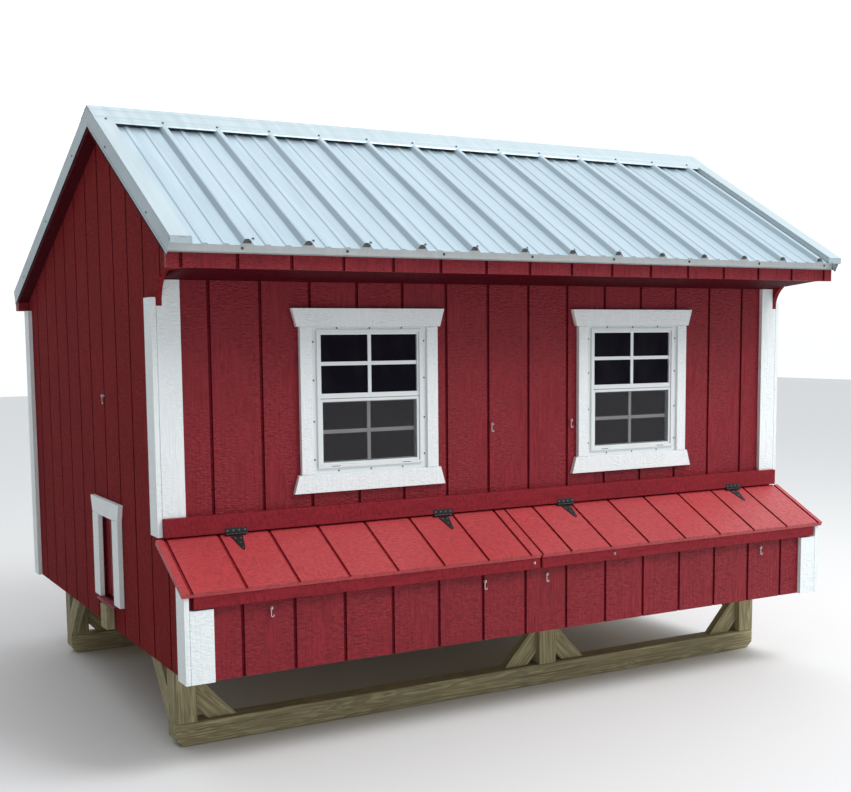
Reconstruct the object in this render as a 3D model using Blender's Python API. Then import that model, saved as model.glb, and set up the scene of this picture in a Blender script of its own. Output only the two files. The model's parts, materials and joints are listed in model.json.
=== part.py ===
"""A raised chicken coop with an outside row of nest boxes, in metres, +Z up.

The windows and the nest lids face -Y, and the gable with the hen door faces -X.
The ground is z = 0, and the middle of the roof's outline is at x = y = 0.
"""

import math

import bmesh
import bpy
from mathutils import Matrix

IN = 0.0254

# Clearances
GAP = 0.0003
MOVING_GAP = 0.0055

# Body
BODY_LENGTH = 120 * IN
BODY_DEPTH = 85 * IN
NEST_DEPTH = 11 * IN
WALL = 2 * IN
SIDING = 0.375 * IN
NEST_WALL = 1.5 * IN
TRIM = 0.75 * IN
TRIM_WIDTH = 3.5 * IN

# Skids, posts and braces
SKID = 3.5 * IN
SKID_BEVEL = 1.2 * IN
SKID_INSET = 1.8 * IN
SKID_SETBACK = 2 * IN
SKID_SPACING = 64.9 * IN
POST_HEIGHT = 9.8 * IN
MIDDLE_POST_SHIFT = 9.5 * IN
BRACE_WIDTH = 3.5 * IN
BRACE_THICK = 1.5 * IN
BRACE_FOOT = 1.9 * IN
BRACE_SLOPE = math.radians(47)

# Floor
JOIST = 3.5 * IN
JOIST_THICK = 1.5 * IN
JOIST_SPACING = 12 * IN
FLOOR_BOARD = 0.75 * IN

# Roof, with heights over the siding's foot to the top of the roof boards
RIDGE_SETBACK = 25.5 * IN
RIDGE_HEIGHT = 83.1 * IN
FRONT_OVERHANG = 14.4 * IN
FRONT_EAVE_HEIGHT = 60.05 * IN
BACK_OVERHANG = 3.45 * IN
BACK_EAVE_HEIGHT = 56.45 * IN
GABLE_OVERHANG = 2 * IN
ROOF_BOARD = 0.6 * IN
ROOF_SHEET = 0.15 * IN
RIB_HEIGHT = 0.75 * IN
THIN_SHEET = 0.1 * IN
CAP_WIDTH = 6 * IN
RAKE_TRIM_DROP = 3.1 * IN
RAKE_FLANGE = 3 * IN
RAKE_BOARD = 2 * IN

# Eaves
FRONT_FASCIA_SETBACK = 2.1 * IN
FRONT_FASCIA_BOTTOM = 57.2 * IN
FRONT_DRIP_BOTTOM = 59.2 * IN
BACK_FASCIA_SETBACK = 0.9 * IN
BACK_FASCIA_BOTTOM = 53.6 * IN
BACK_DRIP_BOTTOM = 54.4 * IN
SOFFIT = 0.4 * IN
SOFFIT_AT_WALL = 56.15 * IN
BRACKET_RADIUS = 4.5 * IN
BRACKET_THICK = 0.85 * IN
BRACKET_TAIL = 0.25 * IN
SIDE_BOARD_PAST_TAIL = 1.2 * IN

# Nest lids and their hinges
LEDGER_BOTTOM = 19.15 * IN
LEDGER_HEIGHT = 2.75 * IN
LEDGER_THICK = 1.5 * IN
LID_SLOPE = math.radians(27.4)
LID_THICK = 0.75 * IN
LID_BACK_EDGE = 1 * IN
LID_OVERHANG = 1.4 * IN
LID_PAST_GABLE = 1.15 * IN
LID_JOINT_GAP = 0.4 * IN
LID_JOINT_SHIFT = -1.55 * IN
APRON_HEIGHT = 2.3 * IN
APRON_FROM_END = 1.75 * IN
HINGE_FROM_END = 12 * IN
HINGE_STAND_OFF = 0.15 * IN
HINGE_DROP = 0.2 * IN
HINGE_TO_LID = 0.3 * IN
HINGE_PLATE = 0.1 * IN
BARREL_RADIUS = 0.17 * IN
BARREL_SIDES = 12
LEAF_WIDTH = 3.4 * IN
LEAF_HEIGHT = 0.95 * IN
STRAP_LENGTH = 3.4 * IN
STRAP_WIDE = 1.9 * IN
STRAP_NARROW = 0.5 * IN

# Windows
WINDOW_FROM_MIDDLE = 26 * IN
WINDOW_SILL = 26.8 * IN
WINDOW_HEIGHT = 22.6 * IN
WINDOW_WIDTH = 20.1 * IN
CASING_SIDE = 1.93 * IN
CASING_STEP = 0.47 * IN
CASING_HEAD = 2.8 * IN
CASING_FLARE = 0.8 * IN
FLANGE = 0.4 * IN
FLANGE_PROUD = 0.3 * IN
WINDOW_INSET = 1 * IN
WINDOW_STILE = 1.25 * IN
WINDOW_BORDER = 0.55 * IN
WINDOW_RAIL = 1.6 * IN
GLASS = 0.2 * IN

# Hen door
DOOR_SETBACK = 28.75 * IN
DOOR_CLEAR_WIDTH = 8.5 * IN
DOOR_CLEAR_HEIGHT = 14.05 * IN
DOOR_SILL = 4.6 * IN
DOOR_HEAD = 2.8 * IN
DOOR_HEAD_FLARE = 0.9 * IN
DOOR_LAP = 1 * IN
DOOR_SILL_HEIGHT = 0.6 * IN
DOOR_SILL_PROUD = 1.1 * IN
TRACK_WIDTH = 2 * IN
TRACK_THICK = 0.75 * IN
RAMP_BLOCK_WIDTH = 3.5 * IN
RAMP_BLOCK_THICK = 1.5 * IN

# Places that follow from the sizes
LEFT = -BODY_LENGTH / 2
RIGHT = BODY_LENGTH / 2
FRONT = (FRONT_OVERHANG - BODY_DEPTH - BACK_OVERHANG) / 2
BACK = FRONT + BODY_DEPTH
NEST_FRONT = FRONT - NEST_DEPTH
BASE = SKID + POST_HEIGHT
FLOOR_TOP = BASE + JOIST + FLOOR_BOARD
FRONT_EAVE = FRONT - FRONT_OVERHANG
BACK_EAVE = BACK + BACK_OVERHANG
FRONT_FASCIA = FRONT_EAVE + FRONT_FASCIA_SETBACK
BACK_FASCIA = BACK_EAVE - BACK_FASCIA_SETBACK
RIDGE_Y = FRONT + RIDGE_SETBACK
RIDGE_Z = BASE + RIDGE_HEIGHT
FRONT_RISE = (RIDGE_HEIGHT - FRONT_EAVE_HEIGHT) / (RIDGE_Y - FRONT_EAVE)
BACK_RISE = (RIDGE_HEIGHT - BACK_EAVE_HEIGHT) / (BACK_EAVE - RIDGE_Y)
ROOF_LEFT = LEFT - GABLE_OVERHANG
ROOF_RIGHT = RIGHT + GABLE_OVERHANG
TAIL_Z = BASE + FRONT_FASCIA_BOTTOM - BRACKET_RADIUS - BRACKET_TAIL
LEDGER_Z = BASE + LEDGER_BOTTOM
HINGE_Y = FRONT - LEDGER_THICK - HINGE_STAND_OFF
HINGE_Z = LEDGER_Z - HINGE_DROP
DOOR_Y = FRONT + DOOR_SETBACK
DOOR_SILL_Z = BASE + DOOR_SILL
DOOR_HEAD_Z = DOOR_SILL_Z + DOOR_CLEAR_HEIGHT
DOOR_TOP_Z = DOOR_HEAD_Z + DOOR_LAP
DOOR_TRAVEL = DOOR_CLEAR_HEIGHT
DOOR_THICK = WALL - SIDING - 2 * MOVING_GAP
POCKET_FRONT = DOOR_Y - DOOR_CLEAR_WIDTH / 2 - DOOR_LAP
POCKET_BACK = DOOR_Y + DOOR_CLEAR_WIDTH / 2 + DOOR_LAP
SIDES = (("left", LEFT, -1), ("right", RIGHT, 1))

LOOKS = {
    "barn_red": ((0.23, 0.016, 0.022), 0.6, 0.0),
    "white_trim": ((0.83, 0.87, 0.86), 0.5, 0.0),
    "treated_lumber": ((0.36, 0.29, 0.16), 0.85, 0.0),
    "bare_board": ((0.48, 0.34, 0.2), 0.85, 0.0),
    "roof_metal": ((0.72, 0.77, 0.8), 0.35, 0.8),
    "black_iron": ((0.02, 0.02, 0.022), 0.45, 0.6),
    "window_frame": ((0.8, 0.83, 0.83), 0.4, 0.0),
    "window_glass": ((0.03, 0.035, 0.035), 0.08, 0.0),
}


def look(name):
    """A plain material, made the first time it is asked for."""
    if name in bpy.data.materials:
        return bpy.data.materials[name]
    colour, roughness, metallic = LOOKS[name]
    made = bpy.data.materials.new(name)
    made.use_nodes = True
    shader = made.node_tree.nodes["Principled BSDF"]
    shader.inputs["Base Color"].default_value = (*colour, 1.0)
    shader.inputs["Roughness"].default_value = roughness
    shader.inputs["Metallic"].default_value = metallic
    return made


def finish(name, bm, surface, origin):
    """Turn a bmesh in the shared frame into an object with its own origin."""
    bmesh.ops.translate(bm, verts=bm.verts, vec=[-value for value in origin])
    bmesh.ops.recalc_face_normals(bm, faces=bm.faces)
    mesh = bpy.data.meshes.new(name)
    bm.to_mesh(mesh)
    bm.free()
    mesh.materials.append(look(surface))
    thing = bpy.data.objects.new(name, mesh)
    thing.location = origin
    bpy.context.scene.collection.objects.link(thing)
    return thing


def box(name, x, y, z, surface="barn_red", origin=(0, 0, 0)):
    """An upright box between two ends on each axis, given in either order."""
    outline = [(x[0], z[0]), (x[1], z[0]), (x[1], z[1]), (x[0], z[1])]
    return prism(name, "y", outline, y, surface, origin)


def prism(name, axis, outline, ends, surface="barn_red", origin=(0, 0, 0)):
    """A flat outline pushed along x or y, its points (y, z) or (x, z)."""
    bm = bmesh.new()
    place = {
        "x": lambda across, up: (ends[0], across, up),
        "y": lambda across, up: (across, ends[0], up),
    }[axis]
    push = {"x": (ends[1] - ends[0], 0, 0), "y": (0, ends[1] - ends[0], 0)}[axis]
    face = bm.faces.new([bm.verts.new(place(*point)) for point in outline])
    pushed = bmesh.ops.extrude_face_region(bm, geom=[face])["geom"]
    verts = [item for item in pushed if isinstance(item, bmesh.types.BMVert)]
    bmesh.ops.translate(bm, verts=verts, vec=push)
    return finish(name, bm, surface, origin)


def shape(target, tool, operation):
    """Cut a tool out of an object, or join it on, and hide the tool."""
    tool.name = f"{target.name}_tool_{len(target.modifiers)}"
    tool.hide_render = True
    tool.display_type = "WIRE"
    modifier = target.modifiers.new(operation.lower(), "BOOLEAN")
    modifier.operation = operation
    modifier.solver = "EXACT"
    modifier.object = tool


def cut(target, tool):
    shape(target, tool, "DIFFERENCE")


def join(target, tool):
    shape(target, tool, "UNION")


def roof_z(y, lift=0.0):
    """Height of the roof boards' top at a depth, or of a layer square above it."""
    if y < RIDGE_Y:
        return RIDGE_Z - (RIDGE_Y - y) * FRONT_RISE + lift * math.hypot(1, FRONT_RISE)
    return RIDGE_Z - (y - RIDGE_Y) * BACK_RISE + lift * math.hypot(1, BACK_RISE)


def ridge(lift=0.0):
    """Depth and height where a layer lifted square off both slopes meets itself."""
    front = lift * math.hypot(1, FRONT_RISE)
    back = lift * math.hypot(1, BACK_RISE)
    shift = (back - front) / (FRONT_RISE + BACK_RISE)
    return (RIDGE_Y + shift, RIDGE_Z + front + shift * FRONT_RISE)


def layer(lift, y_front, y_back):
    """Line of a layer over both slopes, from the front to the back."""
    return [(y_front, roof_z(y_front, lift)), ridge(lift), (y_back, roof_z(y_back, lift))]


def under_roof(start, end):
    """Line just under the roof boards after a start depth, up to an end depth."""
    lift = -ROOF_BOARD - GAP
    points = [ridge(lift)] if start < RIDGE_Y < end else []
    return points + [(end, roof_z(end, lift))]


def lid_z(y, below=0.0):
    """Height of the closed lid's top at a depth, or of a layer square below it."""
    drop = (HINGE_TO_LID + below) / math.cos(LID_SLOPE)
    return HINGE_Z - drop - (HINGE_Y - y) * math.tan(LID_SLOPE)


def lid_swing():
    """How far the lid's lower back corner stands from the hinge's axis."""
    y = FRONT - LID_BACK_EDGE + LID_THICK * math.sin(LID_SLOPE)
    return math.hypot(y - HINGE_Y, HINGE_Z - lid_z(y, LID_THICK))


def base():
    """Two skids along the coop, each with three posts."""
    x0 = LEFT + SKID_INSET
    x1 = RIGHT - SKID_INSET
    outline = [
        (x0, SKID),
        (x0, SKID_BEVEL),
        (x0 + SKID_BEVEL, 0),
        (x1 - SKID_BEVEL, 0),
        (x1, SKID_BEVEL),
        (x1, SKID),
    ]
    front = FRONT + SKID_SETBACK
    for row, y, inward in (("front", front, 1), ("back", front + SKID_SPACING, -1)):
        prism(f"skid_{row}", "y", outline, (y, y + SKID), "treated_lumber")
        leg(f"leg_{row}_left", x0, y, (1,), inward)
        leg(f"leg_{row}_middle", MIDDLE_POST_SHIFT - SKID / 2, y, (-1, 1), 0)
        leg(f"leg_{row}_right", x1 - SKID, y, (-1,), inward)


def leg(name, x, y, ways, inward):
    """A post, a brace down to the skid each way given, and one up to the floor inward."""
    foot = SKID + GAP
    head = BASE - GAP
    post = box(name, (x, x + SKID), (y, y + SKID), (foot, head), "treated_lumber")
    run = BRACE_WIDTH / math.sin(BRACE_SLOPE)
    rise = math.tan(BRACE_SLOPE)
    middle = y + SKID / 2
    thick = (middle - BRACE_THICK / 2, middle + BRACE_THICK / 2)
    for way in ways:
        face = x + SKID if way > 0 else x
        far = BRACE_FOOT + run
        core = face - way * BRACE_THICK
        outline = [
            (face + way * BRACE_FOOT, foot),
            (face + way * far, foot),
            (core, foot + (far + BRACE_THICK) * rise),
            (core, foot + (BRACE_FOOT + BRACE_THICK) * rise),
        ]
        join(post, prism(name, "y", outline, thick, "treated_lumber"))
    if inward:
        face = y + SKID if inward > 0 else y
        reach = (head - foot) / rise
        core = face - inward * BRACE_THICK
        outline = [
            (core, foot),
            (face, foot),
            (face + inward * reach, head),
            (face + inward * (reach - run), head),
            (core, head - (reach - run + BRACE_THICK) * rise),
        ]
        across = (x, x + BRACE_THICK) if x < 0 else (x + SKID - BRACE_THICK, x + SKID)
        join(post, prism(name, "x", outline, across, "treated_lumber"))


def floor():
    """Boards on joists, inside the walls: one slab with its underside cut into bays."""
    x = (LEFT + WALL + GAP, RIGHT - WALL - GAP)
    y = (NEST_FRONT + NEST_WALL + GAP, BACK - WALL - GAP)
    slab = box("floor", x, y, (BASE, FLOOR_TOP), "bare_board")
    bays = round((x[1] - x[0]) / JOIST_SPACING)
    pitch = (x[1] - x[0] - JOIST_THICK) / bays
    for number in range(bays):
        start = x[0] + JOIST_THICK + number * pitch
        bay_x = (start, start + pitch - JOIST_THICK)
        bay_y = (y[0] + JOIST_THICK, y[1] - JOIST_THICK)
        cut(slab, box("bay", bay_x, bay_y, (BASE - JOIST, BASE + JOIST)))


def gable_front_line():
    """A gable's edge from the foot of the nest boxes up to the front eave."""
    fascia_back = FRONT_FASCIA + TRIM + GAP
    fascia_z = BASE + FRONT_FASCIA_BOTTOM
    under_lid = LID_THICK + MOVING_GAP
    swing_z = min(HINGE_Z - lid_swing() - MOVING_GAP, lid_z(HINGE_Y, under_lid))
    swing_y = HINGE_Y - (lid_z(HINGE_Y, under_lid) - swing_z) / math.tan(LID_SLOPE)
    line = [
        (NEST_FRONT, BASE),
        (NEST_FRONT, lid_z(NEST_FRONT, under_lid)),
        (swing_y, swing_z),
        (FRONT, swing_z),
        (FRONT, TAIL_Z),
        (FRONT - TRIM, TAIL_Z),
    ]
    steps = 8
    for step in range(steps + 1):
        angle = math.pi / 2 * step / steps
        out = TRIM + BRACKET_RADIUS * (1 - math.cos(angle))
        up = BRACKET_RADIUS * (math.sin(angle) - 1)
        line.append((FRONT - out, fascia_z + up))
    return line + [(fascia_back, fascia_z)] + under_roof(FRONT_EAVE, fascia_back)


def thin_bracket(wall, inner, far):
    """Leave the part of a gable that reaches out under the eave as thin as its bracket."""
    z = (TAIL_Z - BRACKET_TAIL, RIDGE_Z)
    cut(wall, box("space", (inner, far), (FRONT_EAVE, FRONT), z))


def left_gable():
    """The gable with the hen door, split beside and over the doorway."""
    x = (LEFT, LEFT + WALL)
    under_door = DOOR_SILL_Z - DOOR_SILL_HEIGHT / 2
    outline = gable_front_line()
    outline += under_roof(outline[-1][0], POCKET_FRONT)
    outline += [(POCKET_FRONT, under_door), (POCKET_BACK - GAP, under_door), (POCKET_BACK - GAP, BASE)]
    thin_bracket(prism("left_gable_front", "x", outline, x), LEFT + BRACKET_THICK, LEFT + 2 * WALL)
    outline = [(POCKET_BACK, BASE)] + under_roof(FRONT, POCKET_BACK)[-1:]
    outline += under_roof(POCKET_BACK, BACK) + [(BACK, BASE)]
    prism("left_gable_back", "x", outline, x)
    start = POCKET_FRONT + GAP
    end = POCKET_BACK - GAP
    outline = [(start, DOOR_HEAD_Z)] + under_roof(FRONT, start)[-1:]
    outline += under_roof(start, end) + [(end, DOOR_HEAD_Z)]
    over = prism("left_gable_over_door", "x", outline, x)
    pocket_z = (DOOR_HEAD_Z - WALL, DOOR_TOP_Z + DOOR_TRAVEL + MOVING_GAP)
    pocket_y = (start - WALL, end + WALL)
    cut(over, box("pocket", (LEFT + SIDING, LEFT + 2 * WALL), pocket_y, pocket_z))


def right_gable():
    """The plain gable."""
    outline = gable_front_line()
    outline += under_roof(outline[-1][0], BACK) + [(BACK, BASE)]
    wall = prism("right_gable_wall", "x", outline, (RIGHT - WALL, RIGHT))
    thin_bracket(wall, RIGHT - BRACKET_THICK, RIGHT - 2 * WALL)


def long_walls():
    """Front wall with its window openings, the nest boxes' front, and the back wall."""
    x = (LEFT + WALL + GAP, RIGHT - WALL - GAP)
    y = (FRONT, FRONT + WALL)
    top = roof_z(FRONT, -ROOF_BOARD - GAP)
    wall = box("front_wall", x, y, (LEDGER_Z - LEDGER_THICK, top))
    half = WINDOW_WIDTH / 2 - FLANGE
    hole_z = (BASE + WINDOW_SILL + FLANGE, BASE + WINDOW_SILL + WINDOW_HEIGHT - FLANGE)
    for middle in (-WINDOW_FROM_MIDDLE, WINDOW_FROM_MIDDLE):
        hole_x = (middle - half, middle + half)
        cut(wall, box("hole", hole_x, (FRONT - WALL, FRONT + 2 * WALL), hole_z))
    nest_top = lid_z(NEST_FRONT, LID_THICK + MOVING_GAP)
    box("nest_front_wall", x, (NEST_FRONT, NEST_FRONT + NEST_WALL), (BASE, nest_top))
    box("back_wall", x, (BACK - WALL, BACK), (BASE, roof_z(BACK, -ROOF_BOARD - GAP)))


def corner_trim():
    """White boards over the corners, each pair joined as one L."""
    lid_back = FRONT - LID_BACK_EDGE
    soffit_z = BASE + SOFFIT_AT_WALL - GAP
    back_z = (BASE, BASE + BACK_FASCIA_BOTTOM - GAP)
    for side, x, out in SIDES:
        face = x + out * (GAP + TRIM)
        board = (x - out * TRIM_WIDTH, x)
        side_x = (x + out * GAP, face)

        front = (FRONT - GAP - TRIM, FRONT - GAP)
        side_y = (front[0], front[0] + TRIM_WIDTH)
        side_z = (lid_z(lid_back, -MOVING_GAP), TAIL_Z + SIDE_BOARD_PAST_TAIL)
        trim = box(f"corner_trim_front_{side}", side_x, side_y, side_z, "white_trim")
        ledger_top = LEDGER_Z + LEDGER_HEIGHT + GAP
        low = box("board", (board[0], face), front, (ledger_top, TAIL_Z - GAP), "white_trim")
        join(trim, low)
        beside = (board[0], x - out * (BRACKET_THICK + GAP))
        join(trim, box("board", beside, front, (ledger_top, soffit_z), "white_trim"))

        back = (BACK + GAP, BACK + GAP + TRIM)
        side_y = (back[1] - TRIM_WIDTH, back[1])
        trim = box(f"corner_trim_back_{side}", side_x, side_y, back_z, "white_trim")
        join(trim, box("board", (board[0], face), back, back_z, "white_trim"))

        nest_corner_trim(side, side_x, (board[0], face))


def nest_corner_trim(side, side_x, board_x):
    """The two boards at a nest corner, the side one cut to the lid's slope."""
    y = (NEST_FRONT - GAP - TRIM, NEST_FRONT - GAP)
    y_side = y[0] + TRIM_WIDTH
    under = LID_THICK + MOVING_GAP
    outline = [(y[0], BASE), (y[0], lid_z(y[0], under)), (y_side, lid_z(y_side, under)), (y_side, BASE)]
    trim = prism(f"corner_trim_nest_{side}", "x", outline, side_x, "white_trim")
    join(trim, box("board", board_x, y, (BASE, apron_bottom() - MOVING_GAP), "white_trim"))


def apron_bottom():
    """Height of the foot of the boards under the lids' front edges."""
    return lid_z(NEST_FRONT, LID_THICK) - APRON_HEIGHT


def nest_lids():
    """The board that carries the lids' hinges, and the two lids."""
    x = (LEFT, RIGHT)
    y = (FRONT - LEDGER_THICK, FRONT - GAP)
    box("ledger", x, y, (LEDGER_Z, LEDGER_Z + LEDGER_HEIGHT))
    half_gap = LID_JOINT_GAP / 2
    nest_lid("left", LEFT - LID_PAST_GABLE, LID_JOINT_SHIFT - half_gap)
    nest_lid("right", LID_JOINT_SHIFT + half_gap, RIGHT + LID_PAST_GABLE)


def nest_lid(side, x0, x1):
    """A sloping lid with the board under its front edge and two hinges."""
    origin = ((x0 + x1) / 2, HINGE_Y, HINGE_Z)
    lean = LID_THICK * math.sin(LID_SLOPE)
    outline = []
    for y in (FRONT - LID_BACK_EDGE, NEST_FRONT - LID_OVERHANG):
        edge = [(y, lid_z(y)), (y + lean, lid_z(y + lean, LID_THICK))]
        outline += edge if outline else edge[::-1]
    prism(f"nest_lid_{side}", "x", outline, (x0, x1), origin=origin)
    y = (NEST_FRONT - MOVING_GAP - TRIM, NEST_FRONT - MOVING_GAP)
    outline = [(y[1], apron_bottom()), (y[0], apron_bottom())]
    outline += [(y[n], lid_z(y[n], LID_THICK + GAP)) for n in (0, 1)]
    from_left = APRON_FROM_END if side == "left" else 0
    from_right = APRON_FROM_END if side == "right" else 0
    prism(f"nest_apron_{side}", "x", outline, (x0 + from_left, x1 - from_right), origin=origin)
    hinge(f"{side}_1", x0 + HINGE_FROM_END)
    hinge(f"{side}_2", x1 - HINGE_FROM_END)


def hinge(tag, x):
    """A leaf with its barrel on the ledger, and a tapered strap on the lid."""
    leaf_x = (x - LEAF_WIDTH / 2, x + LEAF_WIDTH / 2)
    face = FRONT - LEDGER_THICK - GAP
    leaf_z = (HINGE_Z, HINGE_Z + LEAF_HEIGHT)
    leaf = box(f"hinge_leaf_{tag}", leaf_x, (face - HINGE_PLATE, face), leaf_z, "black_iron")
    ring = []
    for step in range(BARREL_SIDES):
        angle = 2 * math.pi * step / BARREL_SIDES
        ring.append((HINGE_Y + BARREL_RADIUS * math.cos(angle), HINGE_Z + BARREL_RADIUS * math.sin(angle)))
    join(leaf, prism("barrel", "x", ring, leaf_x, "black_iron"))

    bm = bmesh.new()
    start = BARREL_RADIUS + HINGE_PLATE
    half_wide = STRAP_WIDE / 2
    half_narrow = STRAP_NARROW / 2
    outline = [
        (-half_wide, -start),
        (-half_narrow, -STRAP_LENGTH),
        (0, -STRAP_LENGTH - half_narrow),
        (half_narrow, -STRAP_LENGTH),
        (half_wide, -start),
    ]
    face = bm.faces.new([bm.verts.new((across, along, 0)) for across, along in outline])
    pushed = bmesh.ops.extrude_face_region(bm, geom=[face])["geom"]
    verts = [item for item in pushed if isinstance(item, bmesh.types.BMVert)]
    bmesh.ops.translate(bm, verts=verts, vec=(0, 0, HINGE_PLATE))
    bmesh.ops.translate(bm, verts=bm.verts, vec=(0, 0, GAP - HINGE_TO_LID))
    turn = Matrix.Rotation(LID_SLOPE, 3, "X")
    bmesh.ops.rotate(bm, verts=bm.verts, cent=(0, 0, 0), matrix=turn)
    origin = (x, HINGE_Y, HINGE_Z)
    bmesh.ops.translate(bm, verts=bm.verts, vec=origin)
    finish(f"hinge_strap_{tag}", bm, "black_iron", origin)


def windows():
    """Casing, frame and glass of the two windows."""
    for side, _, out in SIDES:
        middle = out * WINDOW_FROM_MIDDLE
        window_casing(side, middle)
        window_unit(side, middle)


def window_casing(side, middle):
    """White boards round a window, with a flared head and foot."""
    low = BASE + WINDOW_SILL
    high = low + WINDOW_HEIGHT
    inner = WINDOW_WIDTH / 2
    outer = inner + CASING_SIDE
    step = outer + CASING_STEP
    flare = step + CASING_FLARE
    right_edge = [
        (flare, low - CASING_HEAD),
        (step, low),
        (outer, low),
        (outer, high),
        (step, high),
        (flare, high + CASING_HEAD),
    ]
    outline = [(middle + x, z) for x, z in right_edge]
    outline += [(middle - x, z) for x, z in reversed(right_edge)]
    y = (FRONT - TRIM - GAP, FRONT - GAP)
    casing = prism(f"window_casing_{side}", "y", outline, y, "white_trim")
    hole_x = (middle - inner, middle + inner)
    cut(casing, box("hole", hole_x, (y[0] - TRIM, y[1] + TRIM), (low, high)))


def window_unit(side, middle):
    """A flanged frame with two sashes, and one sheet of glass behind them."""
    half = WINDOW_WIDTH / 2 - GAP
    low = BASE + WINDOW_SILL + GAP
    high = low + WINDOW_HEIGHT - 2 * GAP
    flange_y = (FRONT - FLANGE_PROUD, FRONT - GAP)
    name = f"window_frame_{side}"
    frame = box(name, (middle - half, middle + half), flange_y, (low, high), "window_frame")
    half -= FLANGE
    low += FLANGE
    high -= FLANGE
    body_x = (middle - half, middle + half)
    body_y = (FRONT - FLANGE_PROUD / 2, FRONT + WINDOW_INSET)
    join(frame, box("body", body_x, body_y, (low, high), "window_frame"))
    pane_x = (middle - half + WINDOW_STILE, middle + half - WINDOW_STILE)
    pane_y = (FRONT - WALL, FRONT + 2 * WALL)
    rail = (low + high) / 2
    half_rail = WINDOW_RAIL / 2
    for z in ((low + WINDOW_BORDER, rail - half_rail), (rail + half_rail, high - WINDOW_BORDER)):
        cut(frame, box("pane", pane_x, pane_y, z))
    glass_y = (body_y[1] + GAP, body_y[1] + GAP + GLASS)
    box(f"window_glass_{side}", body_x, glass_y, (low, high), "window_glass")


def hen_door():
    """The door that slides up, with its casing, sill, track and ramp block."""
    face = LEFT + SIDING + MOVING_GAP
    door_y = (POCKET_FRONT + MOVING_GAP, POCKET_BACK - MOVING_GAP)
    door_z = (DOOR_SILL_Z + MOVING_GAP, DOOR_TOP_Z)
    box("hen_door", (face, face + DOOR_THICK), door_y, door_z, origin=(face, DOOR_Y, DOOR_SILL_Z))

    inner = DOOR_CLEAR_WIDTH / 2
    outer = inner + TRIM_WIDTH
    foot = DOOR_SILL_Z + GAP
    back_edge = [
        (inner, DOOR_HEAD_Z),
        (inner, foot),
        (outer, foot),
        (outer, DOOR_HEAD_Z),
        (outer + DOOR_HEAD_FLARE, DOOR_HEAD_Z + DOOR_HEAD),
    ]
    outline = [(DOOR_Y + y, z) for y, z in back_edge]
    outline += [(DOOR_Y - y, z) for y, z in reversed(back_edge)]
    prism("hen_door_casing", "x", outline, (LEFT - TRIM - GAP, LEFT - GAP), "white_trim")

    sill_foot = DOOR_SILL_Z - DOOR_SILL_HEIGHT
    outline = [
        (LEFT - DOOR_SILL_PROUD, sill_foot),
        (LEFT - GAP, sill_foot),
        (LEFT - GAP, DOOR_SILL_Z),
        (LEFT - DOOR_SILL_PROUD, DOOR_SILL_Z - DOOR_SILL_HEIGHT / 3),
    ]
    prism("hen_door_sill", "y", outline, (POCKET_FRONT, POCKET_BACK))

    half = RAMP_BLOCK_WIDTH / 2
    block_x = (LEFT - RAMP_BLOCK_THICK, LEFT - GAP)
    block_z = (BASE, sill_foot - GAP)
    box("ramp_block", block_x, (DOOR_Y - half, DOOR_Y + half), block_z, "treated_lumber")

    x0 = LEFT + WALL + GAP
    top = DOOR_TOP_Z + DOOR_TRAVEL + MOVING_GAP
    track_y = (POCKET_FRONT - TRACK_WIDTH, POCKET_BACK + TRACK_WIDTH)
    track_z = (FLOOR_TOP + GAP, top + TRACK_WIDTH)
    track = box("hen_door_track", (x0, x0 + TRACK_THICK), track_y, track_z, "bare_board")
    hole_y = (POCKET_FRONT + DOOR_LAP, POCKET_BACK - DOOR_LAP)
    cut(track, box("hole", (x0 - WALL, x0 + WALL), hole_y, (FLOOR_TOP - WALL, top)))


def roof():
    """Boards and metal sheets on both slopes, and the cap over the ridge."""
    x = (ROOF_LEFT, ROOF_RIGHT)
    slopes = (
        ("front", FRONT_FASCIA, FRONT_EAVE, FRONT_DRIP_BOTTOM, -1),
        ("back", BACK_FASCIA, BACK_EAVE, BACK_DRIP_BOTTOM, 1),
    )
    for slope, board_y, sheet_y, drip_bottom, way in slopes:
        outline = slab_line(-ROOF_BOARD, 0, board_y, way)
        prism(f"roof_boards_{slope}", "x", outline, x, "bare_board")
        outline = slab_line(GAP, GAP + ROOF_SHEET, sheet_y, way)
        sheet = prism(f"metal_roof_{slope}", "x", outline, x, "roof_metal")
        drip_y = (board_y + way * GAP, board_y + way * (GAP + THIN_SHEET))
        drip_z = (BASE + drip_bottom, roof_z(drip_y[1], GAP + ROOF_SHEET / 2))
        join(sheet, box("drip", x, drip_y, drip_z, "roof_metal"))
    lift = GAP + ROOF_SHEET + RIB_HEIGHT + THIN_SHEET + GAP
    reach = (RIDGE_Y - CAP_WIDTH, RIDGE_Y + CAP_WIDTH)
    outline = layer(lift, *reach) + layer(lift + THIN_SHEET, *reach)[::-1]
    prism("ridge_cap", "x", outline, (ROOF_LEFT - THIN_SHEET, ROOF_RIGHT + THIN_SHEET), "roof_metal")


def slab_line(low, high, eave_y, way):
    """Outline of a flat layer on one slope, cut upright at the eave and the ridge."""
    end_low = ridge(low)
    end_high = ridge(high)
    step = way * GAP / 2
    return [
        (eave_y, roof_z(eave_y, low)),
        (end_low[0] + step, end_low[1] - GAP),
        (end_high[0] + step, end_high[1] - GAP),
        (eave_y, roof_z(eave_y, high)),
    ]


def square_end(corner, drop, rise):
    """Foot of a square cut from a corner across a sloping strip of an upright drop."""
    share = drop / (1 + rise * rise)
    return (corner[0] + share * rise, corner[1] - share)


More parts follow.
